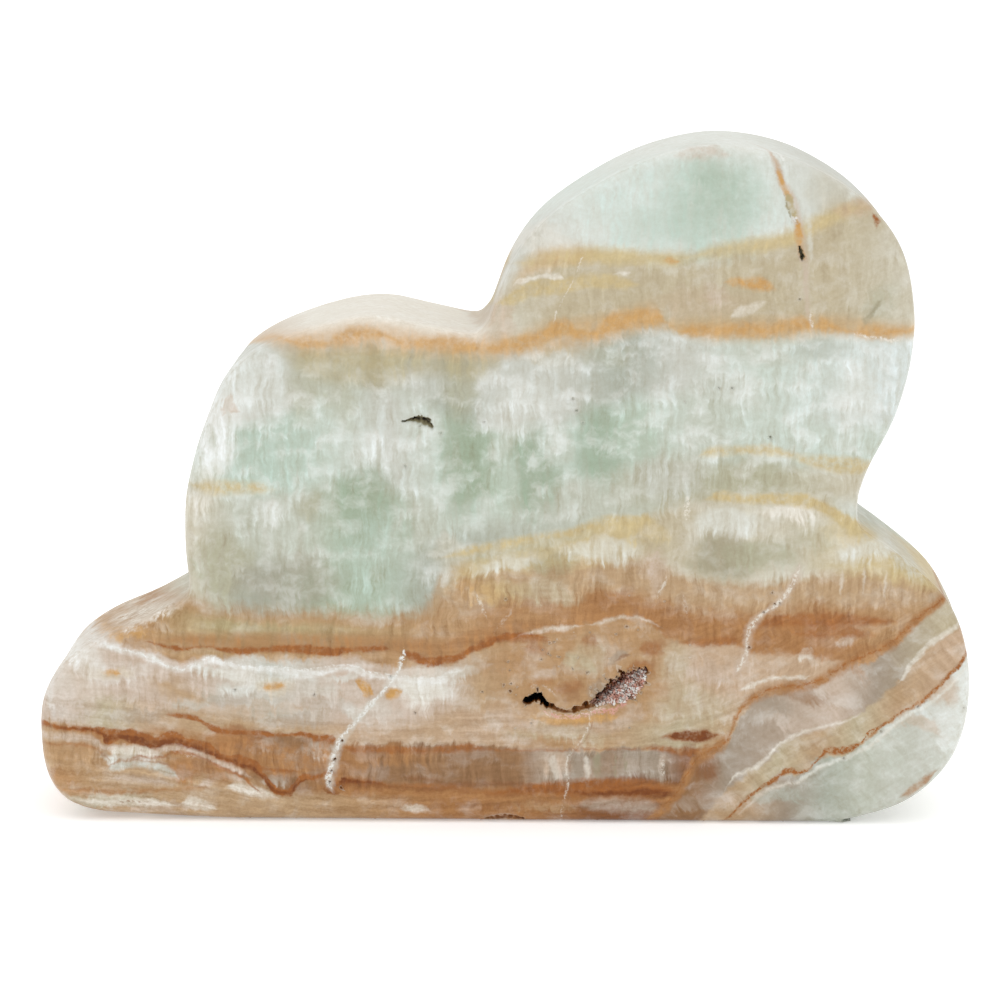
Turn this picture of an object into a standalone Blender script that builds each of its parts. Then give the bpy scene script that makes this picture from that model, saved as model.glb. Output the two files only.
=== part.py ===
"""A cloud-shaped carving of banded calcite, with a druzy vug in its polished face.

Metres, +Z up. The origin is on the ground base, under the middle of the stone. +X runs
to the right along the wide face, and +Y from the front face to the back.
"""
import math
import random

import bmesh
import bpy
from mathutils import Vector
from mathutils.geometry import delaunay_2d_cdt

MM = 0.001

THICKNESS = 28.0 * MM
EDGE_ROUND = 2.1 * MM
EDGE_ROUND_SLOPE = 0.009
EDGE_STEPS = 4
OUTLINE_STEP = 2.2 * MM
FRONT = -THICKNESS / 2
BACK = THICKNESS / 2

# The outline, as x and z in millimetres, clockwise as the front is seen. Two runs meet in
# a sharp crease at each notch, and each run is one smooth curve through its points.
LEFT_NOTCH = (-39.2, 28.8)
TOP_NOTCH = (-3.7, 61.6)
RIGHT_NOTCH = (43.9, 37.9)
MIDDLE_LOBE = [
    LEFT_NOTCH, (-39.8, 35.0), (-39.5, 42.0), (-37.2, 50.3), (-33.6, 57.4),
    (-26.6, 61.6), (-17.2, 64.0), (-9.5, 62.8), TOP_NOTCH,
]
TOP_LOBE = [
    TOP_NOTCH, (-2.2, 63.2), (0.6, 70.1), (4.6, 75.5), (10.9, 80.1), (17.4, 83.3),
    (25.0, 85.1), (32.0, 84.5), (38.5, 82.2), (44.6, 78.1), (49.0, 72.5), (50.7, 65.5),
    (50.5, 59.0), (48.6, 51.6), (45.3, 45.0), (44.0, 41.0), RIGHT_NOTCH,
]
LOWER_LOBES = [
    RIGHT_NOTCH, (49.3, 34.1), (54.6, 29.4), (57.4, 24.1), (58.3, 17.8), (57.4, 11.2),
    (54.8, 6.4), (50.6, 2.9), (45.5, 1.0), (39.0, 0.0), (20.0, 0.0), (-10.0, 0.0),
    (-30.0, 0.0), (-38.0, 0.2), (-46.7, 0.6), (-51.6, 1.0), (-55.4, 2.5), (-57.6, 5.8),
    (-58.3, 10.8), (-57.8, 15.8), (-55.3, 19.9), (-50.8, 23.1), (-45.3, 25.5), LEFT_NOTCH,
]

# The druzy vug: x, z and half width in millimetres along the middle of its mouth.
VUG_SPINE = [
    (2.6, 15.6, 0.3), (4.1, 16.0, 0.8), (5.5, 15.4, 0.9), (7.1, 14.8, 0.8), (9.0, 14.5, 0.8),
    (10.8, 15.0, 1.1), (12.5, 15.8, 1.6), (14.0, 16.5, 2.0), (15.5, 17.2, 2.1),
    (16.9, 18.1, 1.5), (18.0, 18.8, 0.5),
]
VUG_DEPTHS = [(-0.4, 1.04), (0.0, 1.0), (1.3, 0.95), (2.6, 0.82), (3.8, 0.6)]
# A throat runs on into the stone from the vug's left end.
THROAT_MOUTH = (4.0, 16.1)
THROAT_RADIUS = 0.75 * MM
THROAT_DEPTH = 7.0 * MM

# The druzy crust starts at this point of the vug's spine, where the mouth widens.
CRUST_START = 5
CRUST_GAP = 0.32 * MM
CRUST_RIM_DEPTH = 1.2 * MM
CRUST_DISH = 0.8 * MM
CRYSTAL_SPACING = 0.62 * MM
CRYSTAL_HEIGHT = 0.55 * MM

# The small vug high on the middle lobe, and its depth.
SMALL_VUG_SPINE = [
    (-12.5, 51.0, 0.2), (-11.4, 51.3, 0.4), (-10.4, 51.1, 0.5), (-9.6, 50.7, 0.75),
    (-8.9, 50.2, 0.4),
]
SMALL_VUG_DEPTHS = [(-0.4, 1.05), (0.0, 1.0), (1.2, 0.8), (2.2, 0.45)]

# A narrow pit at the foot of the top lobe's vein, and a chip in the base's front edge.
VEIN_PIT_CENTRE = (36.5, 71.8)
VEIN_PIT_RADII = (0.45 * MM, 1.5 * MM, 0.85 * MM)
CHIP_CENTRE = (0.2 * MM, FRONT + 2.0 * MM, -0.25 * MM)
CHIP_RADII = (2.4 * MM, 2.3 * MM, 0.85 * MM)

STONE_COLOUR = (0.58, 0.57, 0.47, 1.0)
DRUZY_COLOUR = (0.70, 0.52, 0.44, 1.0)


def clear_scene():
    for item in list(bpy.data.objects):
        bpy.data.objects.remove(item, do_unlink=True)


def smooth_curve(points, step):
    """Points about step apart on a Catmull-Rom curve through the given ones, ends kept."""
    ends = [points[0] * 2 - points[1]] + points + [points[-1] * 2 - points[-2]]
    curve = [points[0]]
    for a, b, c, d in zip(ends, ends[1:], ends[2:], ends[3:]):
        pieces = max(1, round((c - b).length / step))
        for i in range(1, pieces + 1):
            t = i / pieces
            curve.append(0.5 * (2 * b + (c - a) * t + (2 * a - 5 * b + 4 * c - d) * t * t
                                + (3 * b - a - 3 * c + d) * t ** 3))
    return curve


def stone_outline():
    """The closed outline as 2-D points. The base is ground flat at z = 0."""
    outline = []
    for run in (MIDDLE_LOBE, TOP_LOBE, LOWER_LOBES):
        points = [Vector(point) * MM for point in run]
        outline += smooth_curve(points, OUTLINE_STEP)[:-1]
    for point in outline:
        point.y = max(point.y, 0.0)
    return outline


def inward_miters(outline):
    """For each point, the move that takes both its edges one unit into the shape."""
    miters = []
    for before, here, after in zip([outline[-1]] + outline, outline, outline[1:] + [outline[0]]):
        arriving = (here - before).normalized()
        leaving = (after - here).normalized()
        normal = Vector((arriving.y + leaving.y, -arriving.x - leaving.x)).normalized()
        reach = max(0.5, normal.dot(Vector((leaving.y, -leaving.x))))
        miters.append(normal / reach)
    return miters


def edge_round(x):
    """The radius of the face edges, which were ground rounder on the left."""
    return EDGE_ROUND - EDGE_ROUND_SLOPE * x


def loft(bm, rings):
    """Join closed rings of equal length into a tube with flat ends."""
    loops = [[bm.verts.new(point) for point in ring] for ring in rings]
    count = len(loops[0])
    for near, far in zip(loops, loops[1:]):
        for i in range(count):
            j = (i + 1) % count
            bm.faces.new((near[i], near[j], far[j], far[i]))
    bm.faces.new(loops[0])
    bm.faces.new(loops[-1])
    bmesh.ops.recalc_face_normals(bm, faces=bm.faces)


def make_object(name, bm, colour=None, roughness=0.3):
    mesh = bpy.data.meshes.new(name)
    bm.to_mesh(mesh)
    bm.free()
    item = bpy.data.objects.new(name, mesh)
    bpy.context.scene.collection.objects.link(item)
    if colour:
        material = bpy.data.materials.new(name)
        material.use_nodes = True
        shader = material.node_tree.nodes["Principled BSDF"]
        shader.inputs["Base Color"].default_value = colour
        shader.inputs["Roughness"].default_value = roughness
        mesh.materials.append(material)
    return item


def stone_body():
    """The slab: the outline carried through the thickness, with rounded face edges."""
    outline = stone_outline()
    miters = inward_miters(outline)
    rings = []
    for side in (FRONT, BACK):
        face = []
        for i in range(EDGE_STEPS + 1):
            angle = math.pi / 2 * i / EDGE_STEPS
            ring = []
            for point, miter in zip(outline, miters):
                radius = edge_round(point.x)
                inset = point + miter * radius * (1 - math.sin(angle))
                y = math.copysign(abs(side) - radius * (1 - math.cos(angle)), side)
                ring.append(Vector((inset.x, y, max(inset.y, 0.0))))
            face.append(ring)
        rings += face if side == FRONT else face[::-1]
    bm = bmesh.new()
    loft(bm, rings)
    return make_object("calcite_cloud", bm, STONE_COLOUR, 0.2)


def vug_ring(spine, depth, scale, trim=0.0):
    """One closed ring of a vug: both sides of its spine, scaled, at a depth in metres."""
    middle = [Vector((x, z)) * MM for x, z, half in spine]
    ring = []
    for turn in (1, -1):
        side = []
        for i, (x, z, half) in enumerate(spine):
            ahead = middle[min(i + 1, len(middle) - 1)] - middle[max(i - 1, 0)]
            across = Vector((-ahead.y, ahead.x)).normalized() * turn
            point = middle[i] + across * max(half * MM * scale - trim, 0.1 * MM)
            side.append(Vector((point.x, FRONT + depth, point.y)))
        ring += side[::turn]
    return ring


def make_cutter(name, bm):
    cutter = make_object(name, bm)
    cutter.hide_render = True
    cutter.display_type = "WIRE"
    return cutter


def vug_cutter(name, spine, depths):
    bm = bmesh.new()
    loft(bm, [vug_ring(spine, depth * MM, scale) for depth, scale in depths])
    return make_cutter(name, bm)


def throat_cutter():
    """A tapering hole that leans left as it goes into the stone."""
    bm = bmesh.new()
    x, z = (value * MM for value in THROAT_MOUTH)
    rings = []
    for depth, lean, scale in ((0.5 * MM, 0.0, 1.0), (THROAT_DEPTH, -2.0 * MM, 0.55)):
        centre = Vector((x + lean, FRONT + depth, z))
        radius = THROAT_RADIUS * scale
        rings.append([centre + Vector((math.cos(turn) * radius, 0.0, math.sin(turn) * radius))
                      for turn in (math.tau * i / 10 for i in range(10))])
    loft(bm, rings)
    return make_cutter("throat_cutter", bm)


def round_cutter(name, centre, radii):
    bm = bmesh.new()
    bmesh.ops.create_icosphere(bm, subdivisions=2, radius=1.0)
    for vertex in bm.verts:
        vertex.co = Vector(centre) + Vector(c * r for c, r in zip(vertex.co, radii))
    return make_cutter(name, bm)


def cut(item, cutters):
    for cutter in cutters:
        boolean = item.modifiers.new(cutter.name, "BOOLEAN")
        boolean.operation = "DIFFERENCE"
        boolean.solver = "EXACT"
        boolean.object = cutter


def shade_by_angle(item, degrees):
    item.data.shade_smooth()
    item.data.set_sharp_from_angle(angle=math.radians(degrees))


def crystal_sites(rim):
    """Points of a rough triangular grid inside the crust's rim."""
    random.seed(11)
    xs = [point.x for point in rim]
    zs = [point.y for point in rim]
    sites = []
    row_height = CRYSTAL_SPACING * math.sqrt(0.75)
    for row in range(int((max(zs) - min(zs)) / row_height) + 1):
        for column in range(int((max(xs) - min(xs)) / CRYSTAL_SPACING) + 1):
            jitter = Vector((random.uniform(-0.2, 0.2), random.uniform(-0.2, 0.2))) * CRYSTAL_SPACING
            site = Vector((min(xs) + (column + 0.5 * (row % 2)) * CRYSTAL_SPACING,
                           min(zs) + row * row_height)) + jitter
            if distance_inside(site, rim) > 0.3 * CRYSTAL_SPACING:
                sites.append(site)
    return sites


def distance_inside(site, rim):
    """How far a point is inside a closed outline, negative when it is outside."""
    inside = False
    nearest = math.inf
    for a, b in zip(rim, rim[1:] + rim[:1]):
        if (a.y > site.y) != (b.y > site.y):
            if site.x < a.x + (b.x - a.x) * (site.y - a.y) / (b.y - a.y):
                inside = not inside
        along = max(0.0, min(1.0, (site - a).dot(b - a) / (b - a).length_squared))
        nearest = min(nearest, (site - a - (b - a) * along).length)
    return nearest if inside else -nearest


def druzy_crust():
    """A crust of small pointed crystals in the wide end of the vug."""
    spine = VUG_SPINE[CRUST_START:]
    floor_depth, floor_scale = VUG_DEPTHS[-1]
    floor = vug_ring(spine, floor_depth * MM - CRUST_GAP, floor_scale, CRUST_GAP)
    rim = vug_ring(spine, CRUST_RIM_DEPTH, 0.95, CRUST_GAP)
    flat_rim = [Vector((point.x, point.z)) for point in rim]
    sites = crystal_sites(flat_rim)
    count = len(rim)
    edges = [(i, (i + 1) % count) for i in range(count)]
    points, _, triangles, *_ = delaunay_2d_cdt(flat_rim + sites, edges, [], 1, 1e-7)
    bm = bmesh.new()
    top = []
    for point in points:
        dish = CRUST_DISH * min(1.0, max(0.0, distance_inside(point, flat_rim)) / (1.2 * MM))
        top.append(bm.verts.new((point.x, FRONT + CRUST_RIM_DEPTH + dish, point.y)))
    surface = [bm.faces.new([top[i] for i in triangle]) for triangle in triangles]
    bottom = [bm.verts.new(point) for point in floor]
    for i in range(count):
        j = (i + 1) % count
        bm.faces.new((top[i], top[j], bottom[j], bottom[i]))
    bm.faces.new(bottom)
    bmesh.ops.recalc_face_normals(bm, faces=bm.faces)
    tips = bmesh.ops.poke(bm, faces=surface)["verts"]
    for tip in tips:
        lean = Vector((random.uniform(-0.15, 0.15), 0.0, random.uniform(-0.15, 0.15))) * MM
        tip.co += lean - Vector((0.0, CRYSTAL_HEIGHT * random.uniform(0.5, 1.0), 0.0))
    return make_object("druzy_crust", bm, DRUZY_COLOUR, 0.35)


def main():
    clear_scene()
    stone = stone_body()
    cut(stone, [
        vug_cutter("vug_cutter", VUG_SPINE, VUG_DEPTHS),
        throat_cutter(),
        vug_cutter("small_vug_cutter", SMALL_VUG_SPINE, SMALL_VUG_DEPTHS),
        round_cutter("vein_pit_cutter", (VEIN_PIT_CENTRE[0] * MM, FRONT, VEIN_PIT_CENTRE[1] * MM),
                     VEIN_PIT_RADII),
        round_cutter("chip_cutter", CHIP_CENTRE, CHIP_RADII),
    ])
    shade_by_angle(stone, 30)
    druzy_crust()


main()
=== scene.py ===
"""The looks of a cloud-shaped carving of banded calcite: its polished stone, the druzy
crust in its vug, and a plain pale studio around it.

Lengths are in millimetres up to the point where a mesh or an object is made. A place
that was read off the photograph is a pixel of its 1000 x 1000 frame, and on_face() turns
it into x and z on the stone's front face.
"""
import math

import bpy
import numpy as np
from bpy.props import FloatProperty, FloatVectorProperty, IntProperty, PointerProperty
from mathutils import Matrix, Vector, kdtree, noise
from mathutils.geometry import delaunay_2d_cdt


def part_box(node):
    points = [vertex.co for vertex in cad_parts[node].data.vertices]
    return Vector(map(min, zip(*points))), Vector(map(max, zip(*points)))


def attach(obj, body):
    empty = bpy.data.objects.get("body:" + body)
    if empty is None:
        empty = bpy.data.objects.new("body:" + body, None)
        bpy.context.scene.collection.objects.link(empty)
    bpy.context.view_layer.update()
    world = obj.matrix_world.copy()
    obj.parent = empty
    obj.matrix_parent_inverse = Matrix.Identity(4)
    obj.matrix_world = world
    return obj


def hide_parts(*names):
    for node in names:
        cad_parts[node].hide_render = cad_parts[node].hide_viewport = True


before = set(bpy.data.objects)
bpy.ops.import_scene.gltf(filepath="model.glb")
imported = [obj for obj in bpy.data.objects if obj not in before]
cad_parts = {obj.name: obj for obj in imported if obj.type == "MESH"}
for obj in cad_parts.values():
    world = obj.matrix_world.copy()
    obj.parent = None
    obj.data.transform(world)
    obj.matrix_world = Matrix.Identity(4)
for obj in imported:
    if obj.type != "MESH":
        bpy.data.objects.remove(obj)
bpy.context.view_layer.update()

bl_info = {
    "name": "Banded Calcite Cloud",
    "version": (1, 0, 0),
    "blender": (4, 5, 0),
    "location": "3D Viewport > Sidebar > Calcite",
    "description": "Builds a polished cloud of banded calcite and its studio",
    "category": "Object",
}

MM = 0.001
STONE_LOW, STONE_HIGH = (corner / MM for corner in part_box("calcite_cloud"))
FRONT = STONE_LOW.y
BACK = STONE_HIGH.y

# The camera: where it stands, how far it looks down and turns left, its lens, and how far, in
# metres, it sees.
CAMERA_PLACE = (10.0, -524.0, 121.9)
CAMERA_TILT = math.radians(9.0)
CAMERA_TURN = math.radians(1.17)
SENSOR = 36.0
LENS = 149.8
FARTHEST_SEEN = 50.0
PHOTO_SIZE = 1000


def camera_turn():
    return Matrix.Rotation(CAMERA_TURN, 3, "Z") @ Matrix.Rotation(math.pi / 2 - CAMERA_TILT, 3, "X")


def on_face(px, py):
    """The x and z, in millimetres, of the point of the front face at a pixel."""
    half = PHOTO_SIZE / 2
    pixel = SENSOR / PHOTO_SIZE / LENS
    ray = camera_turn() @ Vector(((px - half) * pixel, (half - py) * pixel, -1.0))
    reach = (FRONT - CAMERA_PLACE[1]) / ray.y
    return CAMERA_PLACE[0] + ray.x * reach, CAMERA_PLACE[2] + ray.z * reach


# A pixel's width on the front face, measured from the 100th to the 900th.
PIXEL = (on_face(900, 500)[0] - on_face(100, 500)[0]) / 800


def face_route(route):
    """A route of pixels with half widths in pixels, as places on the front face."""
    return [(*on_face(px, py), half * PIXEL) for px, py, half in route]


def srgb(red, green, blue):
    """A display colour, 0 to 255, as the linear one that a shader takes."""
    return tuple(c / 12.92 if c <= 0.04045 else ((c + 0.055) / 1.055) ** 2.4
                 for c in (red / 255, green / 255, blue / 255))


def tone(label, use, red, green, blue):
    """A colour setting whose default is a display colour, 0 to 255."""
    return FloatVectorProperty(name=label, description=use, subtype="COLOR", size=3, min=0.0,
                               max=1.0, default=srgb(red, green, blue))


def share(label, use, value, top=2.0):
    """A setting that is a plain factor."""
    return FloatProperty(name=label, description=use, default=value, min=0.0, max=top)


def length(label, use, value):
    """A setting in metres, given in millimetres."""
    return FloatProperty(name=label, description=use, default=value * MM, min=0.01 * MM,
                         max=10 * MM, unit="LENGTH", subtype="DISTANCE", precision=5)


class CALCITE_PG_colours(bpy.types.PropertyGroup):
    """The colours that the stone is seen in"""
    snow: tone("Snow", "The brightest clouds and veins", 238, 238, 233)
    cream: tone("Cream", "Warm white veins and sides", 234, 228, 215)
    milk: tone("Milk", "Milky white clouds", 224, 226, 218)
    ice: tone("Ice", "Cold white at the right edge", 214, 220, 214)
    mint: tone("Mint", "The pale green of the top lobe", 211, 222, 213)
    seafoam: tone("Seafoam", "The blue-green bands", 187, 203, 188)
    frost: tone("Frost", "Pale green stone", 203, 212, 200)
    fern: tone("Fern", "Soft green stone", 173, 187, 165)
    moss: tone("Moss", "The deepest green clouds", 154, 169, 144)
    sage: tone("Sage", "Olive-tinged stone", 180, 177, 151)
    dusk: tone("Dusk", "Dark olive smudges", 158, 150, 122)
    mist: tone("Mist", "Pale grey-green stone", 195, 198, 183)
    pearl: tone("Pearl", "Pale grey stone", 205, 206, 196)
    ash: tone("Ash", "Grey-green stone", 176, 180, 166)
    khaki: tone("Khaki", "The olive band", 183, 168, 128)
    honey: tone("Honey", "The honey bands", 205, 185, 138)
    linen: tone("Linen", "Pale warm stone", 205, 198, 177)
    greige: tone("Greige", "Grey-beige stone", 193, 180, 151)
    sand: tone("Sand", "Sand-coloured bands", 188, 158, 122)
    tan: tone("Tan", "Tan bands", 184, 147, 106)
    amber: tone("Amber", "The orange bands", 206, 160, 98)
    peach: tone("Peach", "Peach bands", 197, 169, 140)
    blush: tone("Blush", "Pale pinkish stone", 205, 186, 168)
    clay: tone("Clay", "The halo of rust seams", 172, 124, 78)
    rust: tone("Rust", "Rust seams", 158, 98, 50)
    umber: tone("Umber", "The dark core of rust seams", 126, 70, 32)
    bark: tone("Bark", "Brown bands", 152, 115, 80)
    # Cocoa also colours hollow floors, partly as their stain and partly as painted shade.
    cocoa: tone("Cocoa", "Dark brown bands and hollow floors", 138, 90, 54)
    lilac: tone("Lilac", "Lilac-grey bands", 180, 163, 145)
    smoke: tone("Smoke", "Grey fibrous bands", 164, 149, 131)
    # Painted shade: the black at the bottom of deep hollows.
    soot: tone("Soot", "The bottom of deep hollows", 40, 28, 18)
    rose: tone("Rose", "Pink crystals", 214, 162, 146)
    # Painted shade: the darker upper side of the crust.
    wine: tone("Wine", "The shaded side of the crust", 112, 60, 38)


class CALCITE_PG_stone(bpy.types.PropertyGroup):
    """The stone's rounded edges, polish and texture"""
    edge: length("Edge Radius", "Radius of the rounded edges of both faces", 2.1)
    roughness: share("Roughness", "Roughness of the polished face", 0.16, 1.0)
    sides: share("Side Roughness", "Roughness of the duller sides", 0.5, 1.0)
    specular: share("Specular", "Strength of the polish's reflection", 0.3, 1.0)
    clouds: share("Clouds", "Whiteness of the clouds in the stone", 0.55)
    shade: share("Cloud Shade", "Light and dark of the clouds", 0.4)
    fibres: share("Fibres", "Contrast of the upright fibres", 0.85)
    layers: share("Fine Layers", "Contrast of the fine layering", 0.9)
    grain: share("Grain", "Contrast of the finest grain", 0.5)
    mottle: share("Mottle", "Contrast of the mottling", 0.26)
    # Greying of the sides and back: partly a duller skin, partly painted shade.
    dullness: share("Side Shade And Dullness", "How grey the sides and the back are", 0.06, 1.0)


class CALCITE_PG_druzy(bpy.types.PropertyGroup):
    """The crystals of the druzy crust"""
    spacing: length("Spacing", "Least distance between two crystals", 0.2)
    smallest: length("Smallest", "Size of the smallest crystal", 0.18)
    largest: length("Largest", "Size of the largest crystal", 0.46)
    seed: IntProperty(name="Seed", description="Another seed grows other crystals", default=5, min=0)


class CALCITE_PG_studio(bpy.types.PropertyGroup):
    """The light of the pale room"""
    horizon: share("Horizon Light", "Brightness of the room near the horizon", 0.86)
    overhead: share("Overhead Light", "Brightness of the room overhead", 1.25)
    strip: FloatProperty(name="Strip Light", description="Power of the lamp over the stone",
                         default=0.3, min=0.0, max=10.0, unit="POWER")
    floor: tone("Floor", "Colour of the plain floor", 240, 240, 240)
    glow: share("Floor Glow", "Light that the floor gives off itself", 0.3)


# Each layer of the stone from the top down: its upper edge across the face and how soft it
# is, then its colours from left to right, and how fibrous, cloudy and finely layered it is.
# The first layer has no upper edge.
LAYERS = [
    (None, 0, [(40, "blush"), (90, "peach"), (140, "peach"), (180, "linen"), (240, "peach"),
     (320, "cream"), (480, "cream"), (530, "pearl"), (580, "milk"), (640, "milk"), (700, "milk"),
     (760, "milk"), (830, "pearl"), (900, "pearl")], (0.5, 0.25, 0.0)),
    ([(180, 345), (260, 338), (300, 333), (330, 326), (371, 321), (400, 324), (440, 330), (470, 335),
     (488, 325), (498, 300), (512, 278), (525, 260), (560, 250), (592, 248), (640, 249), (669, 254),
     (700, 250), (730, 242), (765, 238), (790, 232), (812, 220), (837, 208), (865, 200),
     (930, 190)], 11,
     [(480, "cream"), (505, "linen"), (560, "amber"), (600, "honey"), (640, "honey"), (700, "sage"),
      (760, "honey"), (830, "honey"), (880, "greige")], (0.5, 0.2, 0.3)),
    ([(180, 355), (300, 345), (371, 333), (440, 340), (488, 335), (500, 312), (515, 290), (530, 274),
     (560, 264), (592, 262), (640, 264), (680, 264), (700, 258), (730, 252), (765, 248), (790, 244),
     (812, 232), (837, 222), (865, 214), (930, 204)], 7,
     [(480, "cream"), (515, "linen"), (560, "greige"), (640, "greige"), (700, "greige"),
      (740, "greige"), (790, "greige"), (830, "greige"), (890, "linen")], (0.7, 0.35, 0.2)),
    ([(180, 345), (280, 340), (306, 345), (350, 343), (400, 346), (440, 350), (500, 352), (530, 350),
     (560, 338), (597, 338), (628, 326), (657, 326), (690, 336), (768, 337), (800, 332), (850, 332),
     (890, 337), (930, 337)], 6,
     [(200, "milk"), (270, "pearl"), (320, "mist"), (400, "mist"), (450, "ash"), (500, "pearl"),
      (560, "pearl"), (620, "ash"), (680, "pearl"), (760, "frost"), (880, "ice")], (0.9, 0.8, 0.0)),
    ([(180, 425), (250, 425), (330, 400), (400, 392), (440, 415), (500, 430), (540, 430), (590, 415),
     (650, 395), (720, 400), (800, 420), (900, 430)], 12,
     [(200, "frost"), (260, "seafoam"), (330, "frost"), (390, "pearl"), (440, "frost"), (470, "fern"),
      (540, "frost"), (600, "seafoam"), (660, "frost"), (760, "frost"), (880, "frost")],
     (1.0, 0.8, 0.0)),
    ([(180, 492), (290, 492), (340, 480), (400, 490), (450, 500), (500, 500), (560, 480), (620, 470),
     (680, 458), (740, 462), (900, 470)], 12,
     [(195, "linen"), (240, "mist"), (300, "mist"), (350, "fern"), (420, "mist"), (480, "frost"),
      (540, "mist"), (600, "mist"), (680, "sage"), (760, "sage"), (850, "linen")], (1.0, 0.6, 0.0)),
    ([(180, 560), (250, 560), (330, 570), (400, 560), (440, 540), (520, 520), (900, 500)], 14,
     [(195, "linen"), (240, "ash"), (330, "fern"), (380, "fern"), (430, "ash"), (600, "mist"),
      (800, "mist")], (1.0, 0.5, 0.0)),
    ([(150, 585), (200, 602), (230, 608), (280, 612), (410, 612), (430, 600), (440, 575), (455, 562),
     (480, 556), (520, 548), (560, 540), (600, 530), (640, 522), (670, 505), (700, 500), (730, 494),
     (770, 496), (820, 500), (850, 520), (900, 540), (960, 560)], 12,
     [(60, "sand"), (110, "tan"), (150, "clay"), (180, "tan"), (260, "tan"), (430, "tan"),
      (480, "honey"), (600, "honey"), (660, "greige"), (720, "linen"), (800, "linen"), (870, "honey")],
     (1.0, 0.4, 0.1)),
    ([(30, 600), (150, 605), (300, 625), (430, 625), (440, 600), (470, 578), (560, 568), (640, 560),
     (700, 580), (760, 584), (800, 578), (850, 574), (900, 582), (960, 596)], 9,
     [(60, "sand"), (110, "tan"), (150, "tan"), (220, "khaki"), (300, "khaki"), (430, "tan"),
      (480, "sand"), (600, "sand"), (740, "sand"), (820, "sand"), (900, "sand")], (1.5, 0.35, 0.4)),
    ([(30, 650), (430, 650), (450, 625), (500, 605), (580, 592), (640, 595), (700, 612), (760, 612),
     (830, 606), (900, 606), (960, 610)], 12,
     [(110, "tan"), (480, "tan"), (600, "clay"), (660, "clay"), (760, "clay"), (820, "clay"),
      (900, "tan")], (1.6, 0.2, 0.9)),
    ([(30, 630), (70, 632), (110, 640), (150, 653), (180, 662), (200, 658), (230, 657), (300, 660),
     (345, 658), (400, 668), (430, 668), (460, 662), (480, 650), (520, 642), (560, 630), (600, 620),
     (640, 618), (670, 642), (740, 648), (800, 655), (850, 662)], 4,
     [(60, "cream"), (110, "blush"), (150, "blush"), (200, "blush"), (270, "pearl"), (340, "blush"),
      (400, "blush"), (440, "blush"), (480, "sand"), (520, "tan"), (600, "tan"), (660, "tan"),
      (700, "peach"), (800, "peach")], (0.9, 0.4, 0.5)),
    ([(30, 690), (110, 700), (200, 712), (300, 722), (400, 725), (500, 705), (600, 722), (700, 715),
     (740, 700), (780, 690)], 9,
     [(60, "blush"), (100, "greige"), (150, "peach"), (200, "sand"), (250, "sand"), (300, "sand"),
      (350, "peach"), (440, "peach"), (500, "peach"), (560, "tan"), (620, "sand"), (680, "greige"),
      (740, "sand")], (0.5, 0.5, 1.0)),
    ([(30, 721), (100, 730), (150, 738), (200, 742), (250, 737), (300, 736), (345, 742), (400, 745),
     (470, 745), (530, 750), (600, 750), (650, 748), (690, 752), (720, 755)], 3,
     [(60, "sand"), (110, "tan"), (160, "tan"), (220, "clay"), (260, "bark"), (300, "bark"),
      (340, "clay"), (380, "bark"), (450, "bark"), (520, "bark"), (548, "lilac"), (580, "smoke"),
      (660, "smoke"), (690, "cocoa")], (2.0, 0.25, 0.7)),
    ([(30, 765), (120, 765), (220, 775), (280, 792), (340, 792), (420, 788), (520, 792), (600, 786),
     (680, 782), (720, 790)], 6,
     [(60, "tan"), (130, "sand"), (220, "sand"), (300, "sand"), (370, "tan"), (440, "clay"),
      (540, "clay"), (610, "cocoa"), (680, "cocoa")], (0.4, 0.35, 1.5)),
    ([(640, 845), (668, 805), (684, 780), (700, 762), (727, 745), (736, 725), (744, 712), (755, 702),
     (770, 696), (800, 690), (827, 680), (850, 667), (885, 652), (903, 638), (925, 618), (948, 603),
     (975, 590)], 3,
     [(700, "bark"), (730, "smoke"), (780, "lilac"), (840, "blush"), (880, "smoke"), (950, "greige")],
     (0.8, 0.4, 0.3)),
    ([(690, 835), (725, 792), (745, 775), (770, 757), (790, 740), (815, 731), (850, 720), (880, 699),
     (903, 678), (925, 650), (945, 635), (975, 620)], 4,
     [(730, "sand"), (780, "greige"), (820, "sand"), (860, "greige"), (900, "sand"), (950, "peach")],
     (1.0, 0.4, 0.6)),
    ([(715, 835), (727, 820), (740, 807), (750, 799), (763, 787), (780, 775), (800, 775), (808, 768),
     (820, 759), (835, 756), (850, 752), (868, 740), (890, 722), (914, 707), (938, 690), (950, 677),
     (975, 652)], 3,
     [(740, "sand"), (790, "smoke"), (830, "ash"), (870, "mist"), (920, "pearl"), (960, "milk")],
     (0.6, 0.5, 0.3)),
]

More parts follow.
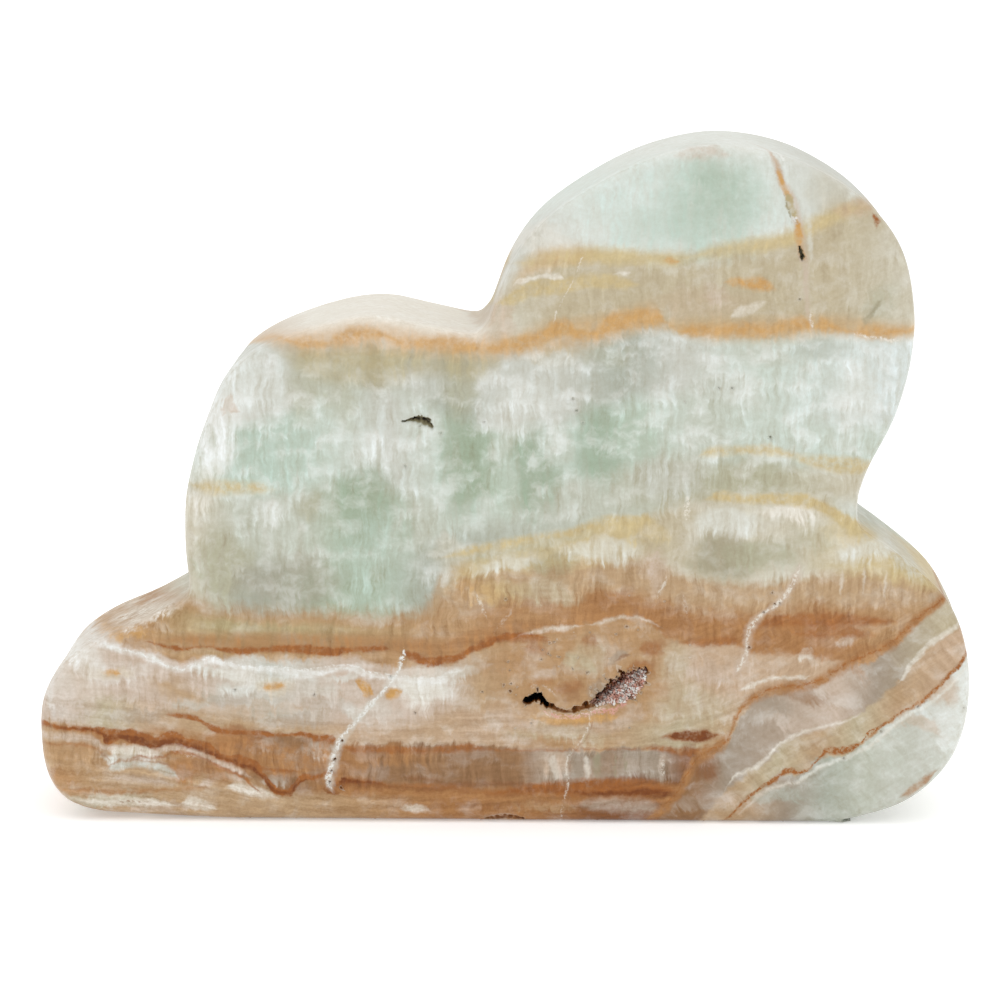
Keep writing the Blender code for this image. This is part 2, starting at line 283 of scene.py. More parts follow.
# Soft patches: middle, reach across and up, turn in degrees, colour and strength.
PATCHES = [
    # The top lobe's green heart and its pale rim.
    (680, 206, 130, 56, 0, "mint", 0.9), (712, 202, 62, 56, 0, "seafoam", 0.85),
    (716, 188, 26, 40, 0, "moss", 0.3), (672, 228, 60, 24, 0, "seafoam", 0.45),
    (835, 195, 40, 26, -35, "linen", 0.5), (540, 240, 40, 22, -30, "cream", 0.5),
    (860, 215, 40, 20, -20, "greige", 0.6), (715, 293, 14, 10, 0, "blush", 0.5),
    (880, 305, 14, 30, -25, "sage", 0.6), (700, 305, 60, 18, 0, "peach", 0.3),
    (500, 322, 16, 34, 0, "peach", 0.5),
    # The marbled middle: greens.
    (556, 354, 40, 14, 0, "greige", 0.75), (610, 356, 26, 14, 0, "sage", 0.6),
    (762, 354, 36, 12, 0, "mist", 0.8), (705, 430, 34, 56, 0, "mist", 0.75),
    (505, 500, 24, 24, 0, "fern", 0.4), (560, 446, 14, 20, 0, "mist", 0.5),
    (280, 452, 50, 36, 0, "seafoam", 0.7), (366, 505, 34, 56, 0, "moss", 0.75),
    (372, 560, 46, 60, 0, "seafoam", 0.6), (463, 462, 30, 66, 0, "moss", 0.7),
    (533, 470, 22, 56, 0, "moss", 0.8), (553, 487, 12, 30, 0, "moss", 0.5),
    (600, 446, 30, 44, 0, "moss", 0.7), (640, 436, 32, 38, 0, "fern", 0.6),
    (374, 370, 13, 38, 0, "dusk", 0.6), (304, 385, 20, 44, 0, "sage", 0.5),
    (342, 395, 18, 40, 15, "sage", 0.5), (458, 385, 22, 36, 0, "sage", 0.7),
    (222, 566, 32, 46, 0, "sage", 0.9), (310, 506, 14, 18, -30, "sage", 0.7),
    (404, 515, 14, 34, 0, "moss", 0.35), (625, 360, 40, 30, 0, "ash", 0.5),
    (820, 350, 30, 14, 0, "ash", 0.5), (760, 470, 30, 26, 0, "sage", 0.6),
    (290, 584, 60, 34, 0, "smoke", 0.5), (420, 580, 40, 40, 0, "ash", 0.4),
    # The marbled middle: whites.
    (216, 430, 26, 50, 0, "snow", 0.8), (205, 486, 20, 30, 0, "cream", 0.5),
    (668, 480, 40, 26, 0, "pearl", 0.7), (450, 552, 24, 18, 0, "linen", 0.6),
    (548, 592, 40, 16, 0, "greige", 0.7), (500, 594, 30, 14, 0, "honey", 0.6),
    (272, 514, 20, 16, 0, "milk", 0.8), (255, 385, 40, 40, 0, "milk", 0.5),
    (420, 380, 34, 18, 0, "pearl", 0.7), (375, 450, 34, 20, 0, "milk", 0.35),
    (520, 410, 38, 26, 30, "milk", 0.5), (552, 438, 14, 14, 0, "milk", 0.4),
    (565, 360, 30, 12, 0, "pearl", 0.6), (505, 445, 30, 12, 40, "milk", 0.35),
    (700, 360, 30, 10, 0, "pearl", 0.5), (745, 392, 26, 22, 0, "milk", 0.5),
    (855, 395, 26, 36, 0, "milk", 0.7), (845, 440, 18, 14, 0, "milk", 0.4),
    (231, 407, 8, 6, 0, "peach", 0.7),
    # The honey and white bands under the marbled zone.
    (635, 530, 42, 14, 0, "honey", 0.8), (600, 552, 48, 13, 0, "milk", 0.65),
    (505, 562, 40, 10, 12, "milk", 0.6), (438, 575, 22, 14, 0, "milk", 0.4),
    (725, 524, 40, 14, 0, "milk", 0.7), (790, 514, 34, 10, 0, "cream", 0.9),
    (825, 530, 22, 12, -25, "milk", 0.6), (870, 550, 44, 16, 5, "milk", 0.7),
    (910, 560, 30, 20, -40, "pearl", 0.6), (724, 556, 40, 26, 0, "dusk", 0.9),
    (764, 554, 44, 18, 0, "sage", 0.9), (550, 562, 28, 18, 0, "dusk", 0.55),
    (812, 538, 24, 14, 0, "sage", 0.5), (850, 530, 40, 14, 0, "honey", 0.6),
    (655, 572, 12, 26, 0, "blush", 0.6),
    # The lower left lobe.
    (105, 640, 20, 8, 10, "snow", 0.5), (82, 660, 40, 18, -35, "snow", 0.5),
    (56, 692, 20, 34, 15, "snow", 0.6), (135, 672, 34, 10, 20, "snow", 0.4),
    (240, 690, 30, 7, 10, "milk", 0.7), (320, 690, 26, 10, 0, "milk", 0.7),
    (352, 712, 22, 8, -30, "milk", 0.6), (430, 692, 40, 16, 0, "snow", 0.6),
    (200, 702, 30, 6, 8, "ash", 0.5), (150, 715, 50, 7, 5, "smoke", 0.5),
    (290, 722, 40, 7, 3, "lilac", 0.6), (215, 672, 30, 8, -10, "milk", 0.7),
    (290, 680, 30, 8, 5, "milk", 0.6), (345, 674, 22, 7, 10, "milk", 0.6),
    (420, 688, 34, 16, 0, "milk", 0.75), (378, 712, 22, 10, -20, "milk", 0.5),
    (455, 676, 20, 8, 0, "milk", 0.6), (160, 668, 26, 7, 10, "blush", 0.6),
    (230, 700, 34, 7, 8, "lilac", 0.45), (320, 706, 34, 7, 4, "lilac", 0.5),
    (70, 712, 34, 7, 8, "lilac", 0.5), (200, 716, 60, 12, 4, "sand", 0.6),
    (100, 802, 60, 9, 3, "linen", 0.8), (160, 806, 50, 7, 2, "blush", 0.6),
    (70, 690, 26, 34, 20, "blush", 0.7), (112, 673, 26, 6, 0, "honey", 0.3),
    (128, 634, 24, 6, 0, "amber", 0.7), (178, 690, 34, 14, -15, "sand", 0.7),
    (150, 615, 40, 10, 20, "cream", 0.6), (105, 612, 26, 9, 30, "tan", 0.6),
    (275, 687, 20, 10, 0, "honey", 0.5), (300, 694, 60, 18, 0, "blush", 0.4),
    (420, 690, 30, 26, 0, "cream", 0.6), (400, 715, 50, 12, 0, "blush", 0.5),
    (245, 675, 40, 10, 0, "cream", 0.4), (270, 710, 50, 8, 0, "peach", 0.6),
    (232, 738, 34, 12, 0, "rust", 0.6), (130, 757, 40, 9, 3, "milk", 0.8),
    (90, 745, 30, 8, 0, "lilac", 0.5), (190, 766, 26, 7, 20, "lilac", 0.6),
    (300, 758, 26, 12, 0, "lilac", 0.7), (135, 772, 40, 10, 0, "sand", 0.8),
    (185, 768, 22, 18, 0, "clay", 0.9), (70, 750, 30, 22, 0, "tan", 0.5),
    (60, 778, 26, 12, 0, "clay", 0.5), (262, 748, 18, 8, 0, "blush", 0.7),
    (318, 752, 20, 8, 0, "milk", 0.6), (275, 779, 15, 6, 0, "lilac", 0.9),
    (230, 785, 40, 10, 0, "sand", 0.8),
    # Around the druzy vug.
    (500, 610, 40, 16, 10, "clay", 0.4), (612, 601, 28, 10, 0, "clay", 0.8),
    (475, 592, 34, 12, 0, "amber", 0.4), (505, 662, 34, 14, 10, "clay", 0.25),
    (676, 668, 20, 30, 0, "greige", 0.6), (560, 735, 60, 10, 0, "greige", 0.6),
    (590, 655, 20, 26, 0, "greige", 0.5), (600, 690, 12, 14, 0, "smoke", 0.7),
    (643, 667, 14, 10, 0, "rust", 0.9), (654, 652, 9, 8, 0, "rust", 0.5),
    (560, 717, 44, 5, 0, "amber", 0.5), (608, 718, 10, 5, 0, "amber", 0.7),
    (708, 675, 30, 14, 0, "blush", 0.7), (720, 640, 20, 8, 0, "clay", 0.5),
    (690, 705, 44, 22, 0, "greige", 0.7), (430, 728, 44, 14, 0, "sand", 0.4),
    (620, 770, 44, 14, 0, "lilac", 0.5), (560, 765, 14, 14, 0, "blush", 0.6),
    (588, 770, 6, 14, 0, "blush", 0.6), (662, 762, 8, 8, 0, "blush", 0.6),
    (630, 790, 56, 14, 0, "umber", 0.85), (690, 806, 20, 8, 0, "lilac", 0.6),
    (548, 806, 34, 7, 0, "sand", 0.6), (552, 762, 20, 16, 0, "peach", 0.5),
    (602, 764, 24, 16, 0, "bark", 0.5), (570, 690, 16, 14, 0, "cocoa", 0.4),
    (648, 660, 16, 18, 0, "sand", 0.5), (598, 640, 26, 10, 0, "tan", 0.6),
    (600, 805, 34, 9, 0, "cocoa", 0.7), (700, 762, 24, 14, -40, "cocoa", 0.8),
    (250, 803, 40, 7, 0, "sand", 0.5), (500, 800, 60, 8, 0, "cocoa", 0.5),
    (390, 755, 50, 10, 0, "clay", 0.7),
    # The lower right lobe.
    (752, 664, 16, 12, 0, "peach", 0.6), (852, 664, 24, 8, -30, "clay", 0.5),
    (802, 694, 36, 9, -10, "bark", 0.7), (944, 690, 20, 16, -40, "peach", 0.7),
    (744, 806, 22, 10, -30, "peach", 0.7), (825, 622, 50, 12, 0, "rust", 0.3),
    (845, 642, 10, 8, 0, "blush", 0.8), (780, 664, 34, 9, 0, "peach", 0.9),
    (805, 657, 8, 8, 0, "cream", 0.7), (770, 705, 26, 8, -15, "smoke", 0.7),
    (790, 722, 26, 8, -15, "blush", 0.4), (890, 672, 16, 24, 35, "smoke", 0.5),
    (925, 760, 50, 40, 0, "mist", 0.5), (915, 720, 44, 9, -28, "peach", 0.5),
    (780, 795, 30, 10, 0, "ash", 0.7), (720, 800, 14, 8, 0, "blush", 0.6),
    (945, 735, 12, 30, 0, "milk", 0.8),
]

# Thin seams that run across the face: colour, softness, strength, then points with the
# half width there. A half width under nought ends or breaks the seam.
SEAMS = [
    ("khaki", 12, 0.6, [(270, 352, -12), (300, 360, 8), (320, 364, 12), (350, 366, 15), (375, 367, 16),
     (400, 366, 15), (412, 364, 10), (440, 362, 10), (470, 364, 12), (490, 362, 8), (512, 358, -12)]),
    ("khaki", 4, 0.5, [(296, 356, -4), (306, 356, 4), (330, 358, 5), (350, 358, 6), (372, 360, 9),
     (392, 358, 7), (404, 356, 4), (420, 356, -4)]),
    ("honey", 8, 0.8, [(515, 264, -4), (535, 261, 5), (560, 257, 6), (592, 255, 5), (620, 255, 4),
     (650, 257, 3), (672, 259, 5), (690, 257, 1), (715, 251, 4), (740, 247, 5), (765, 244, 5),
     (790, 240, 4), (812, 228, 5), (830, 219, 5), (850, 210, 4), (880, 205, -4)]),
    ("honey", 4, 0.75, [(492, 306, -4), (512, 298, 6), (530, 290, 7), (560, 286, 7), (590, 281, 6),
     (620, 283, 5), (645, 284, -4)]),
    ("amber", 10, 0.5, [(252, 340, -8), (275, 340, 5), (310, 342, 9), (370, 336, 12), (430, 344, 10),
     (500, 347, 9), (550, 336, 12), (600, 330, 12), (650, 318, 11), (672, 326, 2), (700, 330, 8),
     (770, 330, 10), (830, 326, 8), (890, 331, 6), (925, 330, 3)]),
    ("amber", 6, 0.7, [(250, 343, -5), (266, 341, 0), (280, 338, 1), (292, 342, 1), (306, 343, 5),
     (322, 344, 1), (335, 340, 4), (350, 336, 7), (370, 333, 4), (385, 335, 2), (400, 342, 3),
     (420, 343, 4), (440, 344, 6), (462, 345, 6), (485, 347, 3), (500, 347, 5), (520, 344, 7),
     (540, 338, 5), (556, 329, 8), (566, 328, 7), (580, 335, 3), (597, 334, 4), (610, 324, 8),
     (628, 320, 7), (645, 318, 7), (657, 318, 5), (668, 324, -2), (678, 330, -1), (690, 331, 4),
     (710, 331, 4), (730, 330, 4), (750, 330, 5), (768, 331, 4), (785, 327, 4), (800, 324, 6),
     (808, 326, 4), (813, 328, -3), (820, 324, 5), (835, 328, 2), (848, 331, 0), (856, 332, 1),
     (866, 332, 5), (880, 333, 5), (893, 332, 3), (905, 330, 1), (925, 330, 0)]),
    ("blush", 6, 0.5, [(668, 158, -6), (690, 154, 4), (712, 152, 5), (738, 157, -6)]),
    ("amber", 5, 0.8, [(720, 283, -5), (735, 282, 3), (745, 283, 4), (758, 284, 6), (768, 286, 4),
     (778, 289, -5)]),
    ("amber", 3, 0.7, [(660, 260, -3), (668, 260, 2), (675, 261, 2), (682, 261, -3)]),
    ("cream", 4, 0.6, [(726, 318, -4), (736, 314, 3), (750, 309, 4), (760, 305, 2), (770, 302, -4)]),
    ("peach", 6, 0.5, [(826, 210, -5), (845, 210, 5), (865, 206, 8), (885, 200, 4)]),
    ("cream", 1.5, 0.8, [(848, 336, -2), (856, 333, 1), (868, 337, 1), (880, 339, 1), (893, 340, 1),
     (906, 341, -2)]),
    ("cream", 2, 0.7, [(512, 286, -2), (518, 282, 2), (535, 278, 1), (548, 276, 2), (560, 277, 2),
     (566, 278, -2)]),
    ("cream", 2, 0.6, [(612, 276, -2), (618, 274, 1), (628, 273, 1), (634, 274, -2)]),
    ("honey", 7, 0.75, [(180, 482, -5), (200, 487, 3), (225, 487, 5), (245, 488, 4), (262, 489, 3),
     (278, 490, -5)]),
    ("honey", 5, 0.7, [(695, 458, -5), (710, 452, 4), (740, 450, 3), (767, 450, 4), (790, 455, 2),
     (824, 463, 6), (850, 466, 8), (868, 466, 4)]),
    ("honey", 4, 0.9, [(700, 500, -4), (722, 496, 4), (745, 499, 3), (775, 499, 5), (800, 500, 6),
     (824, 508, 5), (847, 522, 6), (870, 531, 4), (895, 540, -4)]),
    ("honey", 5, 0.8, [(430, 562, -5), (465, 552, 3), (497, 546, 4), (537, 538, 3), (575, 532, 4),
     (600, 525, 6), (640, 521, 5), (662, 522, -5)]),
    # The orange line over the pale zone, and the fine white line under it.
    ("clay", 8, 0.8, [(140, 640, -8), (180, 640, 4), (250, 642, 8), (340, 643, 8), (400, 645, 6),
     (440, 650, 8), (470, 640, 8), (500, 630, 6), (535, 625, 2), (560, 622, -8)]),
    ("rust", 2.5, 1.0, [(140, 639, -3), (150, 642, 0), (165, 646, 1), (180, 649, 2), (205, 646, 0),
     (225, 649, 2), (240, 651, 3), (265, 649, 2), (290, 649, 3), (320, 651, 4), (335, 652, 4),
     (350, 650, 2), (382, 648, 2), (392, 650, -2), (402, 653, 0), (410, 656, 3), (430, 662, 4),
     (445, 660, 3), (460, 657, 3), (470, 650, 2), (485, 645, 3), (500, 638, 3), (520, 635, 2),
     (535, 636, 1), (560, 640, -3)]),
    ("amber", 4, 0.8, [(260, 688, -4), (268, 687, 3), (280, 686, 3), (290, 688, -4)]),
    ("amber", 4, 0.9, [(354, 682, -4), (360, 684, 5), (368, 690, 6), (376, 694, -4)]),
    ("amber", 4, 0.9, [(382, 695, -4), (389, 695, 4), (397, 693, 4), (405, 691, -4)]),
    ("amber", 3, 0.8, [(100, 673, -3), (108, 673, 2), (116, 673, 2), (124, 674, -3)]),
    ("sand", 4, 0.7, [(150, 680, -4), (164, 684, 2), (180, 692, 3), (200, 700, 2), (215, 706, -4)]),
    ("snow", 3.5, 0.75, [(96, 642, -3), (108, 646, 2), (120, 650, 2), (135, 653, 2), (145, 656, 3),
     (155, 660, 3), (165, 665, 2), (180, 669, 2), (190, 668, 2), (200, 663, 4), (210, 660, 4),
     (230, 665, 2), (245, 669, 1), (285, 671, 3), (300, 674, 3), (320, 673, 3), (345, 668, 2),
     (370, 675, 2), (400, 679, 1), (430, 682, 3), (450, 675, 3), (468, 668, -3)]),
    ("snow", 1.5, 0.8, [(110, 648, -2), (120, 649, 0.5), (135, 652, 0.5), (155, 660, 1),
     (180, 669, 0.5), (190, 667, 0.5), (200, 661, 0.5), (212, 657, 0.5), (230, 663, 0.5),
     (245, 667, 0.5), (285, 667, 0), (300, 670, 0.5), (345, 665, 0), (370, 672, 0.5), (400, 676, 0),
     (430, 678, 0.5), (462, 667, -2)]),
    ("cream", 3, 0.6, [(505, 641, -3), (530, 633, 0.6), (552, 629, 1.8), (570, 628, 1.4),
     (585, 625, -1.5), (600, 622, 0.6), (625, 617, 0.3), (650, 621, 0.3), (668, 632, -3)]),
    ("rust", 5, 0.5, [(522, 650, -5), (532, 648, 4), (542, 650, 3), (552, 654, -5)]),
    ("rust", 5, 0.55, [(636, 652, -5), (646, 648, 5), (656, 649, 5), (666, 656, -5)]),
    ("rust", 5, 0.45, [(578, 644, -5), (584, 640, 3), (592, 640, 4), (600, 646, -5)]),
    ("rust", 5, 0.6, [(624, 672, -5), (632, 667, 3), (642, 666, 4), (652, 674, -5)]),
    ("greige", 5, 0.7, [(560, 664, -5), (570, 660, 7), (580, 662, 8), (592, 668, 4), (600, 676, -5)]),
    ("smoke", 4, 0.6, [(604, 668, -4), (612, 660, 4), (622, 655, 4), (632, 656, -4)]),
    ("blush", 4, 0.6, [(526, 678, -4), (536, 675, 3), (550, 674, 4), (562, 678, -4)]),
    ("rust", 5, 0.4, [(546, 690, -5), (560, 689, 3), (575, 686, 5), (590, 690, -5)]),
    ("cocoa", 2, 0.5, [(612, 664, -2), (620, 658, 1.5), (626, 656, 1), (632, 654, -2)]),
    ("blush", 3, 0.5, [(464, 674, -3), (474, 670, 2), (486, 666, 2), (498, 664, -3)]),
    ("cream", 1.4, 0.8, [(541, 708, -2), (547, 713, 1.6), (556, 716, 2), (566, 717, 2), (578, 716, 2),
     (590, 713, 2), (599, 710, 2), (612, 708, -2)]),
    ("blush", 5, 0.5, [(480, 712, -5), (500, 716, 4), (540, 730, 3), (590, 730, 4), (630, 720, 5),
     (660, 708, -5)]),
    ("rust", 4, 0.6, [(440, 663, -4), (470, 650, 2), (500, 637, 3), (535, 639, 3), (560, 643, -4)]),
    ("rust", 5, 0.6, [(672, 640, -5), (700, 643, 2), (730, 640, 3), (745, 644, -5)]),
    # The granular rim of the vug and the orange stains round it.
    ("clay", 4, 0.6, [(524, 690, -4), (532, 684, 2), (545, 681, 3), (556, 684, 1), (566, 688, -4)]),
    ("blush", 1.8, 0.8, [(526, 692, -2), (531, 688, 0.5), (540, 686, 0.8), (548, 688, 0.8),
     (553, 693, 0.5), (558, 698, -2)]),
    ("rose", 1.9, 0.9, [(540, 708, -2), (548, 713, 1.5), (556, 716, 1.8), (566, 717, 1.8),
     (578, 717, 2), (588, 714, 1.8), (598, 711, 2), (610, 711, 2.5), (622, 706, 2), (634, 696, -2)]),
    ("amber", 3, 0.6, [(526, 716, -3), (540, 719, 1.5), (560, 722, 2.5), (580, 721, 2.5), (598, 719, 3),
     (612, 718, 2), (622, 714, -3)]),
    ("clay", 4, 0.8, [(624, 676, -4), (634, 668, 3), (644, 668, 4), (654, 672, 1), (660, 676, -4)]),
    # The left rust line, its loop and the line on the far side of the crack.
    ("clay", 7, 0.8, [(30, 726, 0), (80, 730, 3), (105, 736, 6), (140, 738, 6), (170, 738, 7),
     (200, 742, 8), (235, 750, 14), (262, 758, 16), (290, 762, 14), (320, 756, 10), (336, 752, -6)]),
    ("rust", 2, 1.0, [(30, 723, 1), (42, 724, 2), (60, 728, 1.5), (80, 729, 2), (95, 730, 2.5),
     (103, 733, 5), (108, 737, 8), (113, 736, 7), (120, 735, 5), (130, 736, 6.5), (140, 739, 7),
     (150, 742, 5.5), (157, 744, 6), (163, 741, 5.5), (168, 739, 6.5), (178, 739, 6), (185, 743, 5),
     (192, 746, 6), (205, 746, 4.5), (212, 749, 5), (217, 754, 4.5), (230, 760, 4.5), (240, 760, 5),
     (250, 763, 4.5), (258, 768, 4.5), (264, 776, 3.5), (270, 785, 4), (277, 791, 3.5), (288, 793, 3),
     (295, 787, 4.5), (300, 780, 4), (306, 777, 3), (318, 777, 2), (330, 771, 2.5), (336, 778, -3)]),
    ("umber", 2.2, 0.85, [(60, 728, -2), (80, 729, 1), (100, 732, 1), (106, 738, 4), (118, 737, 2),
     (135, 741, 3.5), (155, 745, 3), (172, 742, 3), (195, 748, 3), (214, 754, 2), (235, 762, 2),
     (262, 775, 2), (272, 789, 2), (290, 793, 1), (300, 783, 1.5), (312, 778, -2)]),
    ("tan", 5, 0.8, [(36, 752, 5), (56, 752, 10), (80, 754, 11), (98, 760, 8), (110, 768, -5)]),
    ("rust", 2.5, 0.5, [(36, 744, 0), (60, 744, 1), (85, 745, 1), (98, 750, 1), (108, 758, 1),
     (113, 768, -3)]),
    ("blush", 3, 0.8, [(30, 734, 3), (60, 737, 3), (90, 738, 3), (108, 748, 2), (125, 748, 2),
     (150, 752, 3), (175, 748, 2), (200, 755, 3), (218, 763, 3), (238, 770, 3), (256, 780, -3)]),
    ("cream", 4, 0.85, [(106, 750, -4), (116, 751, 3), (130, 751, 4), (150, 754, 3), (166, 755, -4)]),
    ("pearl", 4, 0.75, [(104, 770, -4), (116, 767, 3), (130, 764, 2), (150, 765, 3), (168, 771, 4),
     (182, 780, -4)]),
    ("blush", 4, 0.8, [(104, 780, -4), (120, 778, 2), (145, 780, 3), (165, 783, 2), (180, 786, -4)]),
    ("blush", 4, 0.7, [(190, 790, -4), (205, 784, 3), (222, 776, 2), (236, 778, 3), (250, 784, -4)]),
    ("rust", 2, 0.5, [(104, 776, -2), (112, 764, 0.5), (130, 760, 0.6), (150, 761, 0.6),
     (168, 766, 0.5), (182, 775, -2)]),
    ("clay", 6, 0.6, [(160, 770, -6), (180, 766, 5), (200, 768, 7), (222, 778, 6), (240, 786, -6)]),
    ("cream", 4, 0.7, [(222, 788, -4), (235, 787, 3), (252, 790, 4), (270, 796, 2), (282, 800, -4)]),
    ("cream", 4, 0.7, [(178, 806, -4), (190, 803, 4), (206, 806, 4), (222, 810, -4)]),
    ("cream", 3, 0.7, [(70, 800, -3), (95, 802, 2), (130, 803, 3), (165, 804, 2), (185, 806, -3)]),
    ("bark", 1.4, 0.7, [(112, 801, -2), (120, 801, 0.4), (140, 802, 0.4), (160, 802, -2)]),
    ("blush", 1.9, 0.7, [(98, 742, -2), (106, 749, 0.8), (122, 745, 0.5), (138, 750, 0.8),
     (155, 753, 0.6), (172, 750, 0.6), (190, 756, 0.8), (205, 757, 0.5), (216, 763, 0.6),
     (234, 769, 0.5), (250, 774, -2)]),
    ("rust", 2, 0.7, [(120, 760, -2), (140, 757, 1), (160, 757, 1), (180, 752, 1.5), (200, 757, 1),
     (215, 764, 1.5), (230, 771, 1), (245, 778, 1.5), (255, 788, 1), (268, 797, -2)]),
    ("rust", 2, 0.8, [(248, 764, -2), (256, 767, 1), (270, 770, 1), (290, 771, 1), (304, 772, -2)]),
    ("rust", 4, 0.9, [(324, 790, -4), (334, 788, 4), (350, 785, 7), (372, 786, 5), (400, 789, 4),
     (440, 789, 4), (480, 793, 3), (510, 795, -4)]),
    ("umber", 2, 1.0, [(322, 790, -2), (328, 790, 4), (337, 790, 5), (342, 784, 6), (350, 785, 6),
     (360, 786, 5), (372, 786, 3.5), (380, 787, 4), (392, 790, 4), (405, 789, 2.5), (430, 790, 2),
     (450, 790, 2.5), (470, 793, 1.5), (500, 796, 0.5), (515, 796, -3)]),
    ("clay", 6, 0.85, [(300, 790, -6), (345, 790, 4), (400, 792, 5), (450, 794, 5), (500, 795, 7),
     (560, 793, 8), (620, 792, 10), (672, 792, 8), (690, 790, -6)]),
    ("rust", 6, 1.0, [(470, 792, -5), (500, 793, 1), (540, 789, 4), (580, 788, 7), (620, 788, 8),
     (655, 790, 6), (684, 792, -5)]),
    ("umber", 3, 0.8, [(560, 792, -3), (590, 793, 1), (620, 794, 2), (650, 793, 3), (672, 795, 2),
     (686, 796, -3)]),
    ("lilac", 5, 0.7, [(572, 806, -5), (590, 804, 4), (625, 805, 6), (655, 808, 4), (672, 810, -5)]),
    ("rust", 2.2, 0.95, [(160, 714, -3), (172, 715, 1), (195, 718, 2), (205, 724, 2), (215, 729, 3),
     (230, 732, 2), (262, 733, 2), (290, 735, 1), (300, 734, 2), (320, 738, 3), (332, 739, 3),
     (338, 740, -3)]),
    ("rust", 3, 0.75, [(340, 748, -3), (350, 749, 2), (370, 749, 3), (395, 750, 3), (428, 750, 2),
     (445, 749, 3), (467, 748, 3), (490, 750, 0), (560, 750, 0), (640, 749, 0), (655, 748, 2),
     (690, 752, 3), (712, 750, 3), (728, 740, 1), (736, 735, -3)]),
    ("rust", 4, 0.85, [(655, 738, -4), (668, 737, 1), (692, 736, 5), (712, 736, 3), (726, 734, -4)]),
    ("umber", 2, 1.0, [(668, 737, -2), (676, 736, 2), (684, 736, 4), (694, 736, 5), (706, 736, 4),
     (714, 736, 1), (720, 736, -2)]),
    ("cream", 3, 0.6, [(398, 809, -3), (408, 808, 3), (422, 809, 3), (434, 811, -3)]),
    ("clay", 3, 0.7, [(44, 789, -3), (62, 790, 1), (90, 791, 2), (130, 792, 2), (165, 790, 1),
     (200, 788, 1), (215, 788, -3)]),
    ("cocoa", 3, 0.6, [(395, 778, -3), (410, 778, 1), (430, 780, 1), (450, 784, 2), (500, 784, 2),
     (530, 785, 1), (545, 785, -3)]),
    # The diagonal bands of the lower right lobe.
    ("clay", 6, 0.95, [(645, 826, 4), (660, 812, 6), (675, 797, 6), (690, 772, 8), (700, 757, 8),
     (715, 748, 6), (727, 740, 5), (733, 725, 4), (740, 710, 4), (750, 700, 4), (765, 692, 4),
     (780, 688, 4), (800, 686, 4), (815, 682, 4), (825, 677, 5), (850, 663, 5), (860, 655, 4),
     (885, 647, 4), (895, 642, 5), (903, 633, 5), (913, 623, 5), (925, 613, 4), (935, 605, 4),
     (948, 598, 3), (975, 586, 2)]),
    ("rust", 1.9, 0.7, [(655, 812, -2), (675, 795, 1), (690, 770, 1), (700, 756, 0.5), (727, 741, 1),
     (733, 725, 0), (741, 710, 0.5), (765, 691, 1), (800, 685, 1), (825, 677, 1), (850, 662, 1.5),
     (885, 646, 1), (903, 632, 1.5), (925, 612, 1), (948, 597, 0.5), (965, 590, -2)]),
    ("rust", 4, 0.7, [(752, 626, -4), (765, 623, 3), (800, 620, 5), (830, 620, 6), (860, 620, 4),
     (885, 622, 2), (905, 620, -4)]),
    ("rust", 4, 0.6, [(790, 634, -4), (810, 634, 3), (840, 632, 5), (865, 634, 2), (880, 636, -4)]),
    ("clay", 4, 0.6, [(745, 652, -4), (760, 651, 3), (800, 652, 3), (830, 652, 4), (860, 648, 3),
     (880, 644, -4)]),
    ("cream", 2.5, 0.7, [(738, 691, -2), (745, 688, 1), (760, 682, 1), (775, 678, 1), (803, 677, 1),
     (812, 675, -2)]),
    ("cream", 3, 0.75, [(722, 796, -3), (735, 776, 1), (750, 770, 1), (762, 763, 2), (770, 755, 2),
     (778, 745, 1), (790, 738, 1), (815, 729, 0.5), (850, 719, 0), (865, 710, -3)]),
    ("cream", 3, 0.6, [(895, 688, -3), (903, 677, 2), (910, 666, 3), (925, 649, 3), (945, 634, 3),
     (965, 622, 1)]),
    ("clay", 3, 0.8, [(722, 826, 0), (740, 805, 1), (757, 791, 1), (775, 779, 2), (790, 771, 2),
     (800, 773, 1), (820, 757, 1), (828, 750, 3), (838, 751, 3), (850, 749, 3), (860, 744, 1),
     (878, 730, 1), (900, 714, 1), (925, 699, 2), (950, 674, 2), (966, 656, 2), (980, 640, 1)]),
    ("rust", 1.8, 0.95, [(722, 826, 0), (740, 805, 1), (757, 791, 1.5), (775, 779, 1.5), (790, 771, 2),
     (800, 773, 1), (820, 757, 1), (828, 750, 2.5), (838, 751, 3), (850, 749, 2.5), (860, 744, 1),
     (868, 734, 2), (878, 729, 1.5), (900, 714, 0.8), (915, 705, 0.8), (925, 699, 1.5), (938, 688, 2),
     (950, 674, 2), (958, 665, 2.5), (966, 656, 2), (980, 640, 1)]),
    ("cream", 3, 0.55, [(735, 818, -2), (750, 804, 1), (770, 789, 1), (800, 781, 1), (822, 766, 1.5),
     (840, 760, 0), (862, 750, 1.5), (884, 734, 2), (905, 718, 1), (930, 703, 1), (952, 684, 1.5),
     (970, 662, 1)]),
    ("clay", 4, 0.7, [(896, 799, -4), (908, 793, 3), (920, 785, 4), (930, 777, 3), (940, 767, -4)]),
    ("milk", 2, 0.6, [(790, 782, -2), (803, 778, 1), (822, 765, 1.5), (850, 757, 1.5), (868, 745, 1),
     (890, 728, 1), (915, 712, 1), (940, 696, 1), (958, 678, -2)]),
]

